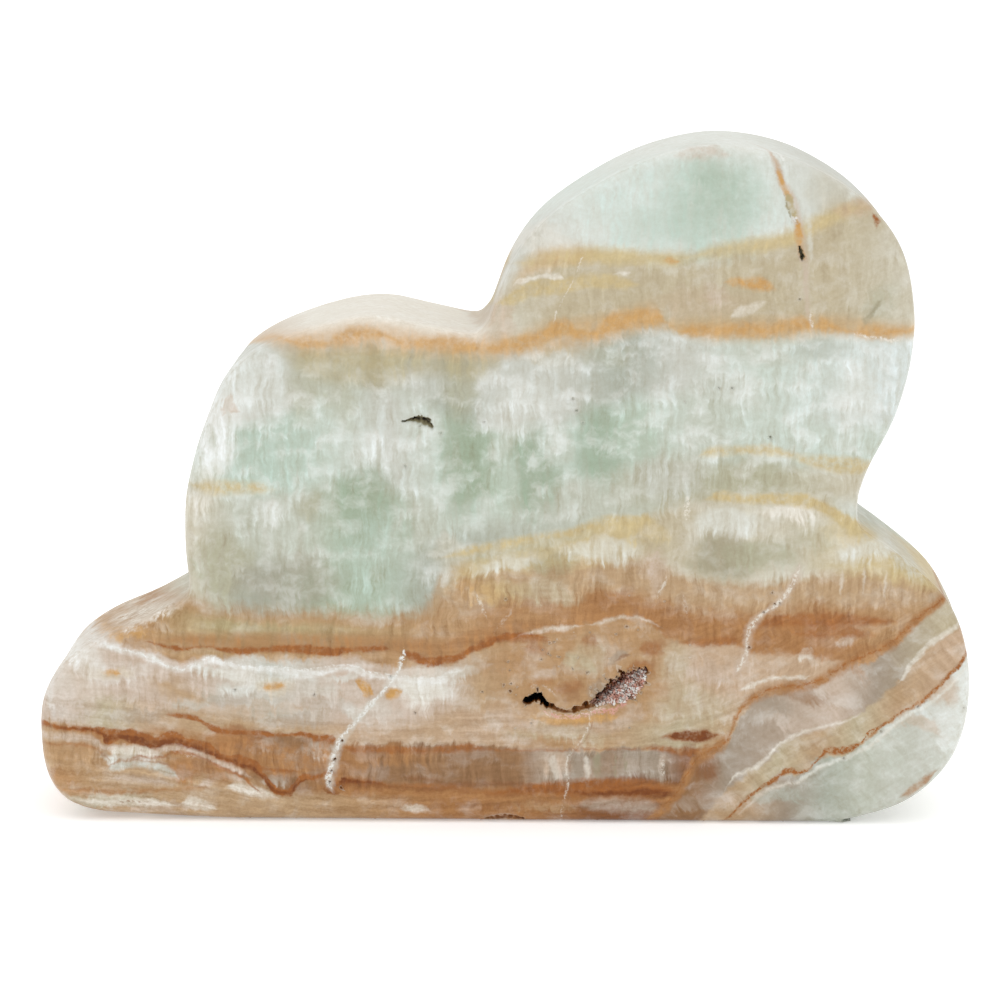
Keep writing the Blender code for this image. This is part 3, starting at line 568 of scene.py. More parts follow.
# Cracks and veins that run down the face, in the same form, from top to bottom.
VEINS = [
    ("blush", 3, 0.6, [(769, 146, 0), (774, 158, 2), (779, 172, 3), (785, 186, 4), (792, 200, 4),
     (797, 216, 3), (800, 232, 4), (802, 246, 4), (803, 258, 5), (805, 266, 3), (806, 290, 1),
     (808, 312, 1), (812, 330, 0), (814, 344, -3)]),
    ("peach", 3, 0.8, [(771, 150, -3), (774, 158, 1), (778, 170, 2), (783, 182, 1), (787, 192, -3)]),
    ("amber", 3, 0.9, [(776, 166, -3), (779, 174, 1), (784, 186, 3), (788, 194, 2), (792, 204, -1),
     (796, 218, -1), (798, 228, 3), (799, 238, 3), (800, 248, 2), (803, 258, 2), (804, 262, -3)]),
    ("khaki", 2.5, 0.95, [(786, 190, -3), (789, 197, 2), (790, 205, 3.5), (793, 213, 3),
     (797, 221, -3)]),
    ("dusk", 1.2, 0.7, [(784, 190, -2), (786, 198, 0.6), (788, 208, 0.8), (791, 217, 0.6),
     (795, 224, -2)]),
    ("snow", 1.5, 0.8, [(792, 214, -2), (795, 219, 2), (798, 224, -2)]),
    ("snow", 1.2, 0.6, [(775, 150, -2), (780, 153, 1.5), (784, 162, 0.6), (786, 172, -2)]),
    ("milk", 2.5, 0.5, [(794, 180, -3), (800, 192, 2), (806, 210, 3), (808, 225, 2), (810, 245, 2),
     (812, 270, -3)]),
    ("cream", 1.2, 0.6, [(586, 250, -1.5), (584, 255, 0.2), (577, 270, 0), (568, 290, 0.2),
     (560, 305, 0.3), (555, 318, 0.2), (552, 328, -1.5)]),
    ("cream", 1.5, 0.7, [(811, 308, -2), (811, 314, 1), (812, 324, 1), (813, 334, -2)]),
    ("cream", 2, 0.6, [(688, 494, -2), (688, 500, 2), (687, 512, 2), (689, 526, -2)]),
    ("blush", 2, 0.5, [(662, 542, -2), (658, 552, 2), (652, 572, 2), (650, 592, -2)]),
    ("milk", 4, 0.45, [(404, 646, -5), (399, 668, 1), (383, 692, 2), (356, 721, 3), (339, 746, 4),
     (331, 770, 4), (330, 784, 3), (336, 798, -5)]),
    ("snow", 1.8, 0.95, [(404, 646, -3), (403, 655, 2), (399, 668, 1), (392, 682, 0.5), (383, 692, 1.5),
     (370, 705, 2), (356, 721, 1.5), (344, 734, 1.5), (337, 746, 2), (333, 758, 1.5), (330, 770, 2),
     (328, 782, 2), (335, 794, -3)]),
    ("cream", 2, 0.75, [(590, 711, 0), (590, 722, 0.5), (584, 736, 0.5), (579, 744, 0), (570, 754, 0.3),
     (566, 765, 0.5), (568, 785, 0.6), (564, 800, 0), (562, 818, 0)]),
    ("smoke", 3, 0.7, [(578, 750, -3), (578, 757, 2), (579, 772, 2), (578, 784, -3)]),
    ("dusk", 3, 0.7, [(598, 750, -3), (598, 757, 3), (597, 770, 3), (598, 784, -3)]),
    ("dusk", 2, 0.6, [(614, 752, -2), (615, 760, 1), (615, 775, 1), (614, 784, -2)]),
    ("dusk", 2, 0.6, [(626, 750, -2), (625, 757, 1), (626, 772, 1), (625, 784, -2)]),
    ("cream", 3, 0.6, [(587, 752, -3), (587, 760, 2), (588, 772, 2), (587, 782, -3)]),
    ("cream", 2, 0.5, [(661, 752, -2), (662, 760, 1.5), (662, 772, 1.5), (661, 780, -2)]),
    ("cream", 3, 0.5, [(556, 752, -3), (553, 760, 3), (556, 775, 3), (554, 784, -3)]),
    ("cocoa", 2, 0.5, [(594, 713, -2), (593, 722, 0), (588, 736, 0), (582, 744, 0), (573, 754, 0),
     (570, 765, 0), (571, 785, 0), (568, 800, 0), (566, 818, -2)]),
    ("blush", 4, 0.65, [(803, 556, -4), (798, 572, 2.5), (790, 588, 3.5), (778, 603, 4.5),
     (765, 612, 4), (756, 620, 4.5), (750, 630, 4.5), (748, 642, 3.5), (746, 655, 3.5), (739, 667, 4.5),
     (732, 680, -4)]),
    ("cream", 1.4, 0.7, [(802, 560, -2), (798, 572, 1.5), (790, 588, 2), (778, 603, 2.5),
     (765, 612, 1.5), (756, 620, 2), (750, 630, 2), (748, 642, 1), (746, 655, 1.5), (739, 667, 2),
     (734, 676, -2)]),
    ("blush", 1.5, 0.6, [(682, 590, -2), (684, 598, 1), (686, 610, 1), (688, 622, -2)]),
    ("cream", 1.5, 0.5, [(474, 588, -2), (478, 598, 1), (484, 612, 0.5), (490, 626, -2)]),
    ("cream", 1.5, 0.5, [(668, 570, -2), (666, 580, 0.5), (660, 592, 1), (655, 604, -2)]),
    ("cream", 2.2, 0.45, [(842, 566, -2), (842, 575, 1), (841, 588, 0.5), (841, 600, -2)]),
    ("cream", 2.2, 0.45, [(864, 564, -2), (864, 574, 1), (863, 586, 0.5), (862, 598, -2)]),
    ("cream", 2.2, 0.45, [(886, 568, -2), (886, 578, 1), (885, 590, 0.5), (884, 604, -2)]),
    ("blush", 1.5, 0.4, [(514, 602, -2), (510, 612, 1), (499, 626, 1), (489, 640, -2)]),
    ("rust", 2.5, 0.85, [(874, 211, -2), (876, 216, 2), (878, 221, 2.5), (877, 226, 1),
     (876, 231, -2)]),
    ("dusk", 3, 0.7, [(884, 296, -3), (878, 304, 2), (872, 312, 2), (866, 320, 3), (863, 328, -3)]),
]


# The face is shared out between a few materials, so that each holds only the markings that
# reach its own part. These are the places where it is cut, in millimetres.
ACROSS_CUTS = (-24.0, 6.0, 30.0)
UPWARD_CUTS = (10.0, 19.0, 30.0, 45.0, 60.0)
ZONE_MARGIN = 3.6

# How far the layers lean to the side and upwards for each millimetre into the stone.
LEAN = (0.16, 0.0, 0.1)
LEAN_WANDER = 0.2

# How the fine layering rises and falls across the face, as x and z in millimetres.
BEDDING = [(-62.0, 12.0), (-45.0, 10.5), (-30.0, 8.0), (-15.0, 7.0), (0.0, 7.5), (15.0, 8.0),
           (26.0, 10.0), (36.0, 15.0), (48.0, 22.0), (62.0, 30.0)]

# Two points on the diagonal band, under which the fibres turn.
DIAGONAL = [(660, 812), (948, 598)]

# The face's sides in the frame, how far a patch reaches for each pixel given, and where in
# it the full colour begins.
FACE_LEFT = on_face(0, 500)[0]
FACE_RIGHT = on_face(PHOTO_SIZE, 500)[0]
PATCH_REACH = 1.2 * PIXEL
PATCH_CORE = 0.65

# A seam's inner softness as a share of its outer one. Then the softness, in pixels, from which
# a seam and a vein are patchy and not crumbly, and from which fibres streak a seam.
SEAM_INNER = 0.6
PATCHY_SEAM = 2.0
PATCHY_VEIN = 2.1
STREAKED_SEAM = 8.0

# The noises in the stone: how fast each changes across a millimetre, its detail and, where
# it isn't the usual one, its roughness.
WANDER = (0.045, 1.0)
SWELL = (0.28, 3.0, 0.6)
JITTER = (1.0, 3.0, 0.65)
CLOUD = (1.0, 4.0, 0.58)
LAMINA = (1.5, 4.0, 0.62)
GRAIN = (2.3, 3.0, 0.72)
FIBRE = (1.0, 4.0, 0.62)

# How clouds, fine layers and fibres are drawn out, and how swell and fibres pull the clouds.
CLOUD_STRETCH = (0.3, 0.3, 0.42)
CLOUD_PULL = (1.0, 0.0, 0.9)
LAMINA_STRETCH = 0.08
FIBRE_STRETCH = (1.5, 1.2, 0.18)
FIBRE_SWAY = 2.0

# How far fibres, jitter and swell carry markings off their drawn places, in millimetres.
SEAM_FIBRE = 0.3
SEAM_JITTER = 0.8
SEAM_SWELL = 0.5
LAYER_JITTER = 1.2
LAYER_SWELL = 2.2
PATCH_FIBRE = 3.5
PATCH_JITTER = 1.6
PATCH_SWELL_ACROSS = 4.5
PATCH_SWELL_UP = 4.0

# The heights between which the fibres' comb on the layers' edges changes, and its reach there.
COMB_HEIGHTS = (48.0, 62.0)
COMB_REACH = (1.8, 0.7)

# What noise is turned into: its low and high values, then the amounts there.
STREAKY = (0.38, 0.62, 0.4, 1.2)
CRUMB = (0.44, 0.56, 0.05, 1.2)
STREAK = (-0.14, 0.14, 0.6, 1.2)
PATCHY = (0.36, 0.58, 0.55, 1.15)
WHITE_CLOUD = (0.44, 0.7)

# How much grain shows everywhere, and how much more in layered stone. Light and shade move
# red less and blue more than green.
GRAIN_EVERYWHERE = 0.35
GRAIN_LAYERED = 0.6
RED_SWING = 0.8
BLUE_SWING = 1.3

# The depths at which a hollow's pale rim starts, is full and has gone, those between which its
# floor, partly brown stain and partly painted shade, and then its painted black shade set in,
# and the heights at which its floor turns brown to olive.
RIM_DEPTHS = (0.03, 0.1, 0.3)
RIM_SHARE = 0.3
FLOOR_STAIN_AND_SHADE_DEPTHS = (0.2, 0.55)
HOLLOW_SHADE_DEPTHS = (0.55, 1.6)
OLIVE_HEIGHTS = (36.0, 40.0)

# The distances from a face between which the stone's sides and back turn greyer, partly as a
# duller skin and partly as painted shade, and its polish less.
DULL_AND_SHADE_DEPTHS = (1.0, 3.5)
POLISH_DEPTHS = (0.4, 2.6)

# How far out and at how many spots a zone's layers are looked at, and a place past them.
STONE_REACH = 60.0
EDGE_SPOTS = 40
FAR = 1e3

# How the stone bends light, how much of its seen colour is reflection, and what the room's
# light makes of the rest.
STONE_IOR = 1.5
GLOSS = 0.015
ROOM_LIGHT = 1.15

# The places that each marking's node group takes, and their kinds.
PLACE_KINDS = {
    "x": "Float", "across": "Float", "z_fibre": "Float", "soft": "Vector", "x_fine": "Float",
    "z_fine": "Float", "down_fine": "Float", "streak": "Float", "crumb": "Float",
    "patchy": "Float",
}

# The stone's shape: a point inside its outline, the turn in degrees that makes a notch, its
# edges' slope and rows, the steps of its walls and grids, and how near counts as the same.
STONE_HEART = (5.0, 15.0)
NOTCH_TURN = 28.0
EDGE_ROUND_SLOPE = 0.009
EDGE_STEPS = 7
WALL_STEP = 1.2
GRID_STEPS = (0.2, 0.45, 0.9)
SAME_PLACE = 1e-3
TINY = 1e-6

# The margins, in millimetres, of the fine and middling grids at hollows, the shares of them
# that count at routes and pits, and the middling one's margin at the outline. Then the least
# gap to the outline, and to other points as a share of a grid's step or an edge row's inset.
FINE_MARGIN = 0.6
MIDDLING_MARGIN = 1.6
ROUTE_MARGIN = 0.6
PIT_MARGIN = 0.5
OUTLINE_MARGIN = 3.2
OUTLINE_GAP = 0.1
GRID_GAP = 0.62
ROW_GAP = 0.93

# The unevenness of hand polishing, as turns for each millimetre and reach, and the height at
# which it sets in over the base and the rise to its full reach, in millimetres.
POLISH_SWELL = (0.07, 0.16)
POLISH_RIPPLE = (0.24, 0.035)
RIPPLE_PLACE = (7.0, 3.0, 1.0)
POLISH_FROM = 0.3
POLISH_RISE = 3.0

# The noises that make hollows ragged and their floors uneven: share, turns for each
# millimetre and seed. Then where a hollow's and a pit's wall stand, in half widths.
RAGGED = [(0.5, 2.2, 3.7), (0.4, 5.0, 9.1)]
UNEVEN = [(0.7, 2.8, 5.3)]
HOLLOW_WALL = (0.45, 1.1)
PIT_WALL = (0.2, 1.2)
LEAST_HALF_WIDTH = 0.05

# Hollows in the front face: depth, whether the floor falls towards its upper side, then
# pixels with the half width there.
HOLLOWS = [
    # The vug's throat, the crevice and its wide end.
    (4.5, 0.0, [(524, 704, 0.5), (527, 701, 4), (533, 698, 4.5), (539, 697, 4.5), (543, 700, 3),
     (547, 706, 2)]),
    (0.5, 0.0, [(545, 703, 3), (551, 707, 3.5), (558, 710, 3), (566, 712, 1.8), (574, 711, 2.8),
     (582, 708, 3.4), (590, 706, 3), (598, 703, 4), (604, 699, 5)]),
    (1.7, 0.5, [(598, 701, 5), (609, 696, 9), (617, 692, 12), (625, 687, 14), (633, 681, 12),
     (640, 676, 8), (647, 671, 2)]),
    # The small vug, the pit and ring at the vein's foot, and the chip in the base's edge.
    (1.3, 0.75, [(403, 422, 1), (411, 420, 3), (419, 421, 5), (426, 423, 6), (431, 427, 3)]),
    (1.2, 0.0, [(799, 246, 1), (801, 252, 2.4), (802, 257, 2.8), (802, 261, 1)]),
    (0.25, 0.0, [(793, 219, 3), (797, 222, 3)]),
    (0.5, 0.0, [(484, 820, 1), (494, 818.5, 3), (504, 817.5, 4), (514, 818.5, 3), (524, 820, 1)]),
    # The three cracks.
    (0.05, 0.0, [(383, 690, 1), (370, 705, 3), (355, 722, 3), (343, 735, 4), (337, 745, 5),
     (333, 757, 5), (330, 770, 5), (328, 782, 4), (335, 792, 1)]),
    (0.03, 0.0, [(590, 712, 1), (592, 722, 1.5), (585, 735, 1.5), (572, 752, 1.5), (568, 765, 1.5),
     (570, 785, 1.5), (565, 812, 1)]),
    (0.04, 0.0, [(800, 565, 1), (790, 588, 3), (778, 603, 3), (765, 612, 3), (750, 625, 4),
     (748, 640, 3), (745, 655, 3), (735, 670, 1)]),
]

# Pits: pixel, radius in pixels and depth in millimetres.
PITS = [
    (769, 147, 1.6, 0.5), (573, 399, 2.2, 0.4), (577, 411, 2.0, 0.4), (719, 388, 1.6, 0.4),
    (732, 388, 1.6, 0.4), (685, 402, 1.4, 0.3), (770, 437, 2.0, 0.5), (235, 690, 2.0, 0.4),
    (314, 695, 1.6, 0.4), (391, 677, 1.6, 0.4), (415, 713, 1.6, 0.4), (587, 673, 2.2, 0.4),
    (616, 634, 1.6, 0.3), (627, 627, 2.0, 0.4), (504, 685, 1.6, 0.4), (511, 684, 1.5, 0.4),
    (517, 687, 1.4, 0.3), (510, 691, 1.8, 0.5), (482, 692, 1.6, 0.4), (342, 741, 2.0, 0.6),
    (335, 759, 2.2, 0.7), (332, 771, 1.8, 0.6), (330, 782, 2.0, 0.6), (341, 788, 2.0, 0.6),
    (775, 604, 2.0, 0.5), (764, 612, 1.8, 0.5), (780, 603, 1.6, 0.4), (772, 593, 1.6, 0.4),
    (749, 648, 1.8, 0.5), (844, 758, 1.8, 0.4), (881, 732, 1.8, 0.4), (964, 709, 1.6, 0.4),
    (918, 707, 1.6, 0.4), (800, 299, 1.8, 0.4), (484, 422, 2.0, 0.3), (583, 423, 2.0, 0.3),
    (405, 466, 2.4, 0.3), (441, 433, 2.2, 0.3), (552, 706, 3.4, 1.2), (557, 709, 2.4, 0.9),
    (575, 709, 3.4, 1.0), (586, 705, 4.2, 1.1), (592, 703, 2.6, 0.9), (600, 700, 4.6, 1.3),
    (607, 696, 3.6, 1.2),
]

# The many small pits of the sugary stone round the vug: how many, the pixels they keep to,
# their radii in pixels, their depth as a share of that, and the seed of their places.
SUGAR_PITS = 44
SUGAR_FROM = (490, 596)
SUGAR_TO = (690, 728)
SUGAR_SIZES = (0.7, 1.5)
SUGAR_DEPTH = 0.25
SUGAR_SEED = 4

# The druzy crust: the part of the vug's route that it lines, how far the lining stands off
# the floor and reaches into it, and the step of its grid, in millimetres. Then the pixels at
# its grid's corners, the noise of its edge, and its faces' longest side in steps.
CRUST_ROUTE = [(596, 702, 4.5), (604, 699, 6), (611, 696, 9), (618, 692, 12), (626, 687, 13.5),
               (634, 681, 11), (640, 676, 7), (645, 672, 2)]
CRUST_LIFT = 0.12
CRUST_ROOT = 0.3
CRUST_STEP = 0.16
CRUST_CORNERS = [(580, 715), (655, 655)]
CRUST_RAGGED = [(0.18, 2.0, 6.0)]
LONGEST_SIDE = 1.2

# A crystal: its sides, its radii at the foot and the top as shares of its length, how far it
# tilts and turns, in radians, how the lining faces where it grows, the most on a square metre,
# and the seed of the glints.
CRYSTAL_SIDES = 6
CRYSTAL_FOOT = 0.48
CRYSTAL_TOP = 0.2
CRYSTAL_TILT = 0.6
CRYSTAL_TURN = 3.1
FACING_FRONT = -0.2
DENSEST = 4e7
GLINT_SEED = 9

# The crust's colours: the pixels between which grey turns to pink, two on the line above which
# painted shade darkens it, the noises that move both and their reach, and the clumps and stains.
GREY_TO_PINK = [(594, 690), (608, 690)]
GREY_NOISE = (0.9, 2.0)
GREY_REACH = 3.0
SHADE_LINE = [(600, 702), (642, 670)]
SHADE_NOISE = (1.2, 3.0)
SHADE_REACH = 1.6
SHADE = (-0.5, 0.2, 0.9, 0.0)
CLUMP_NOISE = (1.5, 2.0)
CLUMP_GLINT = 0.25
CLUMPS = (0.5, 0.75)
STAIN_NOISE = (0.7, 3.0)
STAINS = (0.54, 0.68, 0.0, 0.7)
CRYSTAL_ROUGHNESS = 0.12

# The studio: the soft strip lamp's place, aim and size, the floor's reach in millimetres, the
# heights in the sky between which the room grows brighter, and what is white.
STRIP_PLACE = (0.0, -0.02, 0.7)
STRIP_AIM = (0.0, 0.0, 0.03)
STRIP_SIZE = (0.9, 0.03)
FLOOR_REACH = 6000.0
ROOM_HEIGHTS = (0.1, 0.9)
WHITE = (1.0, 1.0, 1.0, 1.0)


class Graph:
    """Short calls that add nodes to a node tree and join them."""

    def __init__(self, tree):
        self.tree = tree
        tree.nodes.clear()

    def add(self, kind, inputs=(), **settings):
        node = self.tree.nodes.new(kind)
        for name, value in settings.items():
            setattr(node, name, value)
        for key, value in dict(inputs).items():
            self.plug(node.inputs[key], value)
        return node

    def plug(self, socket, value):
        if isinstance(value, bpy.types.NodeSocket):
            self.tree.links.new(value, socket)
        else:
            socket.default_value = value

    def math(self, operation, *values):
        return self.add("ShaderNodeMath", enumerate(values), operation=operation).outputs[0]

    def times(self, value, factor):
        return self.math("MULTIPLY", value, factor)

    def times_plus(self, value, factor, more):
        return self.math("MULTIPLY_ADD", value, factor, more)

    def minus(self, value, less):
        return self.math("SUBTRACT", value, less)

    def vector(self, operation, *values):
        return self.add("ShaderNodeVectorMath", enumerate(values), operation=operation).outputs[0]

    def scaled(self, vector, amount):
        return self.add("ShaderNodeVectorMath", {0: vector, "Scale": amount},
                        operation="SCALE").outputs[0]

    def split(self, vector):
        return self.add("ShaderNodeSeparateXYZ", {0: vector}).outputs

    def combine(self, x, y, z=0.0):
        return self.add("ShaderNodeCombineXYZ", enumerate((x, y, z))).outputs[0]

    def ramp(self, value, low, high, start=0.0, end=1.0, kind="SMOOTHSTEP"):
        return self.add("ShaderNodeMapRange", enumerate((value, low, high, start, end)),
                        interpolation_type=kind).outputs[0]

    def mix(self, amount, under, over, blend="MIX"):
        return self.add("ShaderNodeMix", {0: amount, 6: under, 7: over},
                        data_type="RGBA", blend_type=blend).outputs[2]

    def noise(self, place, scale, detail=2.0, roughness=0.5, colour=False):
        node = self.add("ShaderNodeTexNoise", {"Vector": place, "Scale": scale,
                                               "Detail": detail, "Roughness": roughness})
        return node.outputs["Color" if colour else "Fac"]

    def curve(self, value, points):
        """A smooth value that follows the points, each a place and the value there."""
        node = self.add("ShaderNodeFloatCurve", {1: value})
        node.mapping.use_clip = False
        knots = node.mapping.curves[0].points
        for _ in points[2:]:
            knots.new(0.5, 0.5)
        for knot, point in zip(knots, points):
            knot.location = point
            knot.handle_type = "AUTO_CLAMPED"
        node.mapping.update()
        return node.outputs[0]

    def colours(self, value, stops):
        """A colour that changes along the stops, each a place from 0 to 1 and a colour."""
        node = self.add("ShaderNodeValToRGB", {0: value})
        elements = node.color_ramp.elements
        for _ in stops[2:]:
            elements.new(0.5)
        for element, (place, colour) in zip(elements, stops):
            element.position = place
            element.color = colour
        return node.outputs[0]

    def oval(self, place, middle, reach, turn):
        """1 in the middle of an oval and 0 at its edge."""
        node = self.add("ShaderNodeTexGradient", {0: place}, gradient_type="SPHERICAL")
        node.texture_mapping.vector_type = "TEXTURE"
        node.texture_mapping.translation = (*middle, 0.0)
        node.texture_mapping.rotation = (0.0, 0.0, turn)
        node.texture_mapping.scale = (*reach, 1.0)
        return node.outputs["Fac"]


def painted(name):
    """The base colour that is seen as the palette's colour once it is lit and glossy."""
    seen = getattr(bpy.context.scene.calcite_colours, name)
    return (*(max(part - GLOSS, 0.0) / ROOM_LIGHT for part in seen), 1.0)


def add_layers(g, places, layers):
    """The layers' colour and character: how fibrous, cloudy and finely layered they are."""
    colour = character = None
    for edge, softness, stops, nature in layers:
        own = g.colours(places["across"], [(px / PHOTO_SIZE, painted(n)) for px, n in stops])
        if not edge:
            colour, character = own, (*nature, 1.0)
            continue
        height = g.curve(places["x"], [on_face(px, py) for px, py in edge])
        gap = g.minus(height, places["z_fibre"])
        under = g.ramp(gap, -softness * PIXEL, softness * PIXEL)
        colour = g.mix(under, colour, own)
        character = g.mix(under, character, (*nature, 1.0))
    return colour, character


def add_patches(g, places, colour, patches):
    for px, py, across, up, turn, name, strength in patches:
        inside = g.oval(places["soft"], on_face(px, py), (across * PATCH_REACH, up * PATCH_REACH),
                        math.radians(turn))
        amount = g.times(g.ramp(inside, 0.0, PATCH_CORE, 0.0, strength), places["streak"])
        colour = g.mix(amount, colour, painted(name))
    return colour


def route_mask(g, along, across, points, softness, strength):
    """How much a point is on a seam, from the places, middles and half widths along it."""
    lower = g.curve(along, [(place, middle - half) for place, middle, half in points])
    upper = g.curve(along, [(place, middle + half) for place, middle, half in points])
    inside = g.math("MINIMUM", g.minus(across, lower), g.minus(upper, across))
    soft = softness * PIXEL
    return g.ramp(inside, -soft, soft * SEAM_INNER, 0.0, strength)


def add_seams(g, places, colour, seams):
    for name, softness, strength, route in seams:
        points = face_route(route)
        mask = route_mask(g, places["x_fine"], places["z_fine"], points, softness, strength)
        soft_texture = "patchy" if softness < STREAKED_SEAM else "streak"
        texture = "crumb" if softness < PATCHY_SEAM else soft_texture
        colour = g.mix(g.times(mask, places[texture]), colour, painted(name))
    return colour


def add_veins(g, places, colour, veins):
    for name, softness, strength, route in veins:
        points = [(-z, x, half) for x, z, half in face_route(route)]
        mask = route_mask(g, places["down_fine"], places["x_fine"], points, softness, strength)
        texture = "crumb" if softness < PATCHY_VEIN else "patchy"
        colour = g.mix(g.times(mask, places[texture]), colour, painted(name))
    return colour


def marked(g, places, colour, add_markings, markings):
    """Colour with one family of markings on it, which is kept in a node group of its own."""
    if not markings:
        return colour
    tree = bpy.data.node_groups.new(add_markings.__name__[4:], "ShaderNodeTree")
    inner = Graph(tree)
    for name, kind in [("colour", "Color"), *PLACE_KINDS.items()]:
        tree.interface.new_socket(name, in_out="INPUT", socket_type="NodeSocket" + kind)
    tree.interface.new_socket("colour", in_out="OUTPUT", socket_type="NodeSocketColor")
    entry = inner.add("NodeGroupInput").outputs
    result = add_markings(inner, entry, entry["colour"], markings)
    inner.add("NodeGroupOutput", {"colour": result})
    sockets = {"colour": colour, **{key: places[key] for key in PLACE_KINDS}}
    return g.add("ShaderNodeGroup", sockets, node_tree=tree).outputs[0]


def leaning(g, place, depth):
    """The x, y and z of a point, moved to where its layer comes to the front face."""
    wander = g.vector("SUBTRACT", g.noise(place, *WANDER, colour=True), (0.5, 0.5, 0.5))
    lean = g.vector("MULTIPLY_ADD", wander, (LEAN_WANDER, 0.0, LEAN_WANDER), LEAN)
    return g.split(g.vector("ADD", place, g.scaled(lean, depth)))


def stone_places(g):
    """Places in the stone, in millimetres, and the noises there, for its markings."""
    place = g.scaled(g.add("ShaderNodeTexCoord").outputs["Object"], 1 / MM)
    depth = g.minus(g.split(place)[1], FRONT)
    x, y, z = leaning(g, place, depth)
    swell, jitter = (g.split(g.noise(place, *kind, colour=True)) for kind in (SWELL, JITTER))
    fibre = g.times(fibre_noise(g, x, y, z, swell), g.ramp(swell[0], *STREAKY))
    cloud_place = g.vector("MULTIPLY_ADD", g.combine(swell[1], swell[2], fibre), CLOUD_PULL,
                           g.vector("MULTIPLY", place, CLOUD_STRETCH))
    z_fine = moved(g, g.times_plus(fibre, SEAM_FIBRE, z), jitter[2], SEAM_JITTER)
    z_fine = moved(g, z_fine, swell[1], SEAM_SWELL)
    comb = g.ramp(z, *COMB_HEIGHTS, *COMB_REACH)
    z_fibre = moved(g, g.times_plus(fibre, comb, z), jitter[2], LAYER_JITTER)
    over_bed = g.minus(z_fine, g.curve(x, BEDDING))
    soft_x = moved(g, moved(g, x, swell[0], PATCH_SWELL_ACROSS), jitter[0], PATCH_JITTER)
    soft_z = moved(g, g.times_plus(fibre, PATCH_FIBRE, z), swell[2], PATCH_SWELL_UP)
    grain = g.noise(place, *GRAIN)
    return {
        "depth": depth,
        "mottle": jitter[0],
        "fibre": fibre,
        "cloud": g.noise(cloud_place, *CLOUD),
        "lamina": g.noise(g.combine(g.times(x, LAMINA_STRETCH), over_bed), *LAMINA),
        "grain": grain,
        "crumb": g.ramp(grain, *CRUMB),
        "streak": g.ramp(fibre, *STREAK, kind="LINEAR"),
        "patchy": g.ramp(jitter[1], *PATCHY, kind="LINEAR"),
        "x": x,
        "across": g.ramp(x, FACE_LEFT, FACE_RIGHT, kind="LINEAR"),
        "z_fibre": moved(g, z_fibre, swell[2], LAYER_SWELL),
        "soft": g.combine(soft_x, soft_z),
        "x_fine": moved(g, moved(g, x, jitter[0], SEAM_JITTER), swell[2], SEAM_SWELL),
        "z_fine": z_fine,
        "down_fine": g.times(z_fine, -1.0),
    }


def moved(g, value, noise_value, reach):
    """A value moved up and down about itself by a noise."""
    return g.times_plus(noise_value, reach, g.minus(value, reach / 2))


def fibre_noise(g, x, y, z, swell):
    """Noise drawn out along the stone's fibres: upright ones, but square to the diagonal bands."""
    (left_x, left_z), (right_x, right_z) = (on_face(*pixel) for pixel in DIAGONAL)
    slope = (right_z - left_z) / (right_x - left_x)
    over = g.minus(z, g.times_plus(x, slope, left_z - slope * left_x))
    fan = slope / (1 + slope ** 2)
    turned = g.times_plus(g.math("MINIMUM", over, 0.0), fan, x)
    turned = moved(g, turned, swell[1], FIBRE_SWAY)
    drawn_out = [g.times(value, by) for value, by in zip((turned, y, z), FIBRE_STRETCH)]
    return g.minus(g.noise(g.combine(*drawn_out), *FIBRE), 0.5)


def in_zone(spots, zone):
    """Whether any of the spots, each an x, a z and a reach, gets into a zone."""
    left, right, low, high = zone
    return any(left - reach < x < right + reach and low - reach < z < high + reach
               for x, z, reach in spots)


def route_spots(route, spacing=3.0):
    """Spots a few millimetres apart along a route, with how far each reaches."""
    spots = []
    points = face_route(route)
    for (ax, az, a_half), (bx, bz, b_half) in zip(points, points[1:]):
        pieces = max(1, math.ceil(math.hypot(bx - ax, bz - az) / spacing))
        reach = max(a_half, b_half, 0.0) + ZONE_MARGIN + spacing
        spots += [(x, z, reach) for x, z in np.linspace((ax, az), (bx, bz), pieces + 1)]
    return spots


def zone_layers(zone):
    """The layers that show in a zone: those under a layer that covers it all are dropped."""
    left, right, low, high = zone
    shown = []
    for layer in LAYERS:
        if not layer[0]:
            shown = [layer]
            continue
        edge = [on_face(px, py) for px, py in layer[0]]
        spots = np.linspace(max(left, -STONE_REACH) - ZONE_MARGIN,
                            min(right, STONE_REACH) + ZONE_MARGIN, EDGE_SPOTS)
        heights = np.interp(spots, *zip(*edge))
        reach = ZONE_MARGIN + layer[1] * PIXEL
        if heights.min() - reach > high:
            shown = [(None, 0, *layer[2:])]
        elif heights.max() + reach > low:
            shown.append(layer)
    return shown


def clouded(g, places, colour, cloudy):
    """Colour with the stone's white clouds."""
    white = g.times(g.ramp(places["cloud"], *WHITE_CLOUD), cloudy)
    amount = g.times(white, bpy.context.scene.calcite_stone.clouds)
    return g.mix(amount, colour, painted("snow"))


def textured(g, places, colour, character):
    """Colour with the light and shade of the stone's clouds, fibres, fine layers and grain."""
    look = bpy.context.scene.calcite_stone
    fibrous, cloudy, layered = character
    cloud = g.times(g.minus(places["cloud"], 0.5), look.shade)
    light = g.times_plus(cloud, cloudy, 1.0)
    light = g.times_plus(g.times(places["fibre"], fibrous), look.fibres, light)
    sheet = g.times(g.minus(places["lamina"], 0.5), layered)
    light = g.times_plus(sheet, look.layers, light)
    grain = g.times(g.minus(places["grain"], 0.5), look.grain)
    grain_share = g.times_plus(layered, GRAIN_LAYERED, GRAIN_EVERYWHERE)
    light = g.times_plus(grain, grain_share, light)
    light = g.times_plus(g.minus(places["mottle"], 0.5), look.mottle, light)
    red = g.times_plus(light, RED_SWING, 1 - RED_SWING)
    blue = g.times_plus(light, BLUE_SWING, 1 - BLUE_SWING)
    return g.mix(1.0, colour, g.combine(red, light, blue), "MULTIPLY")


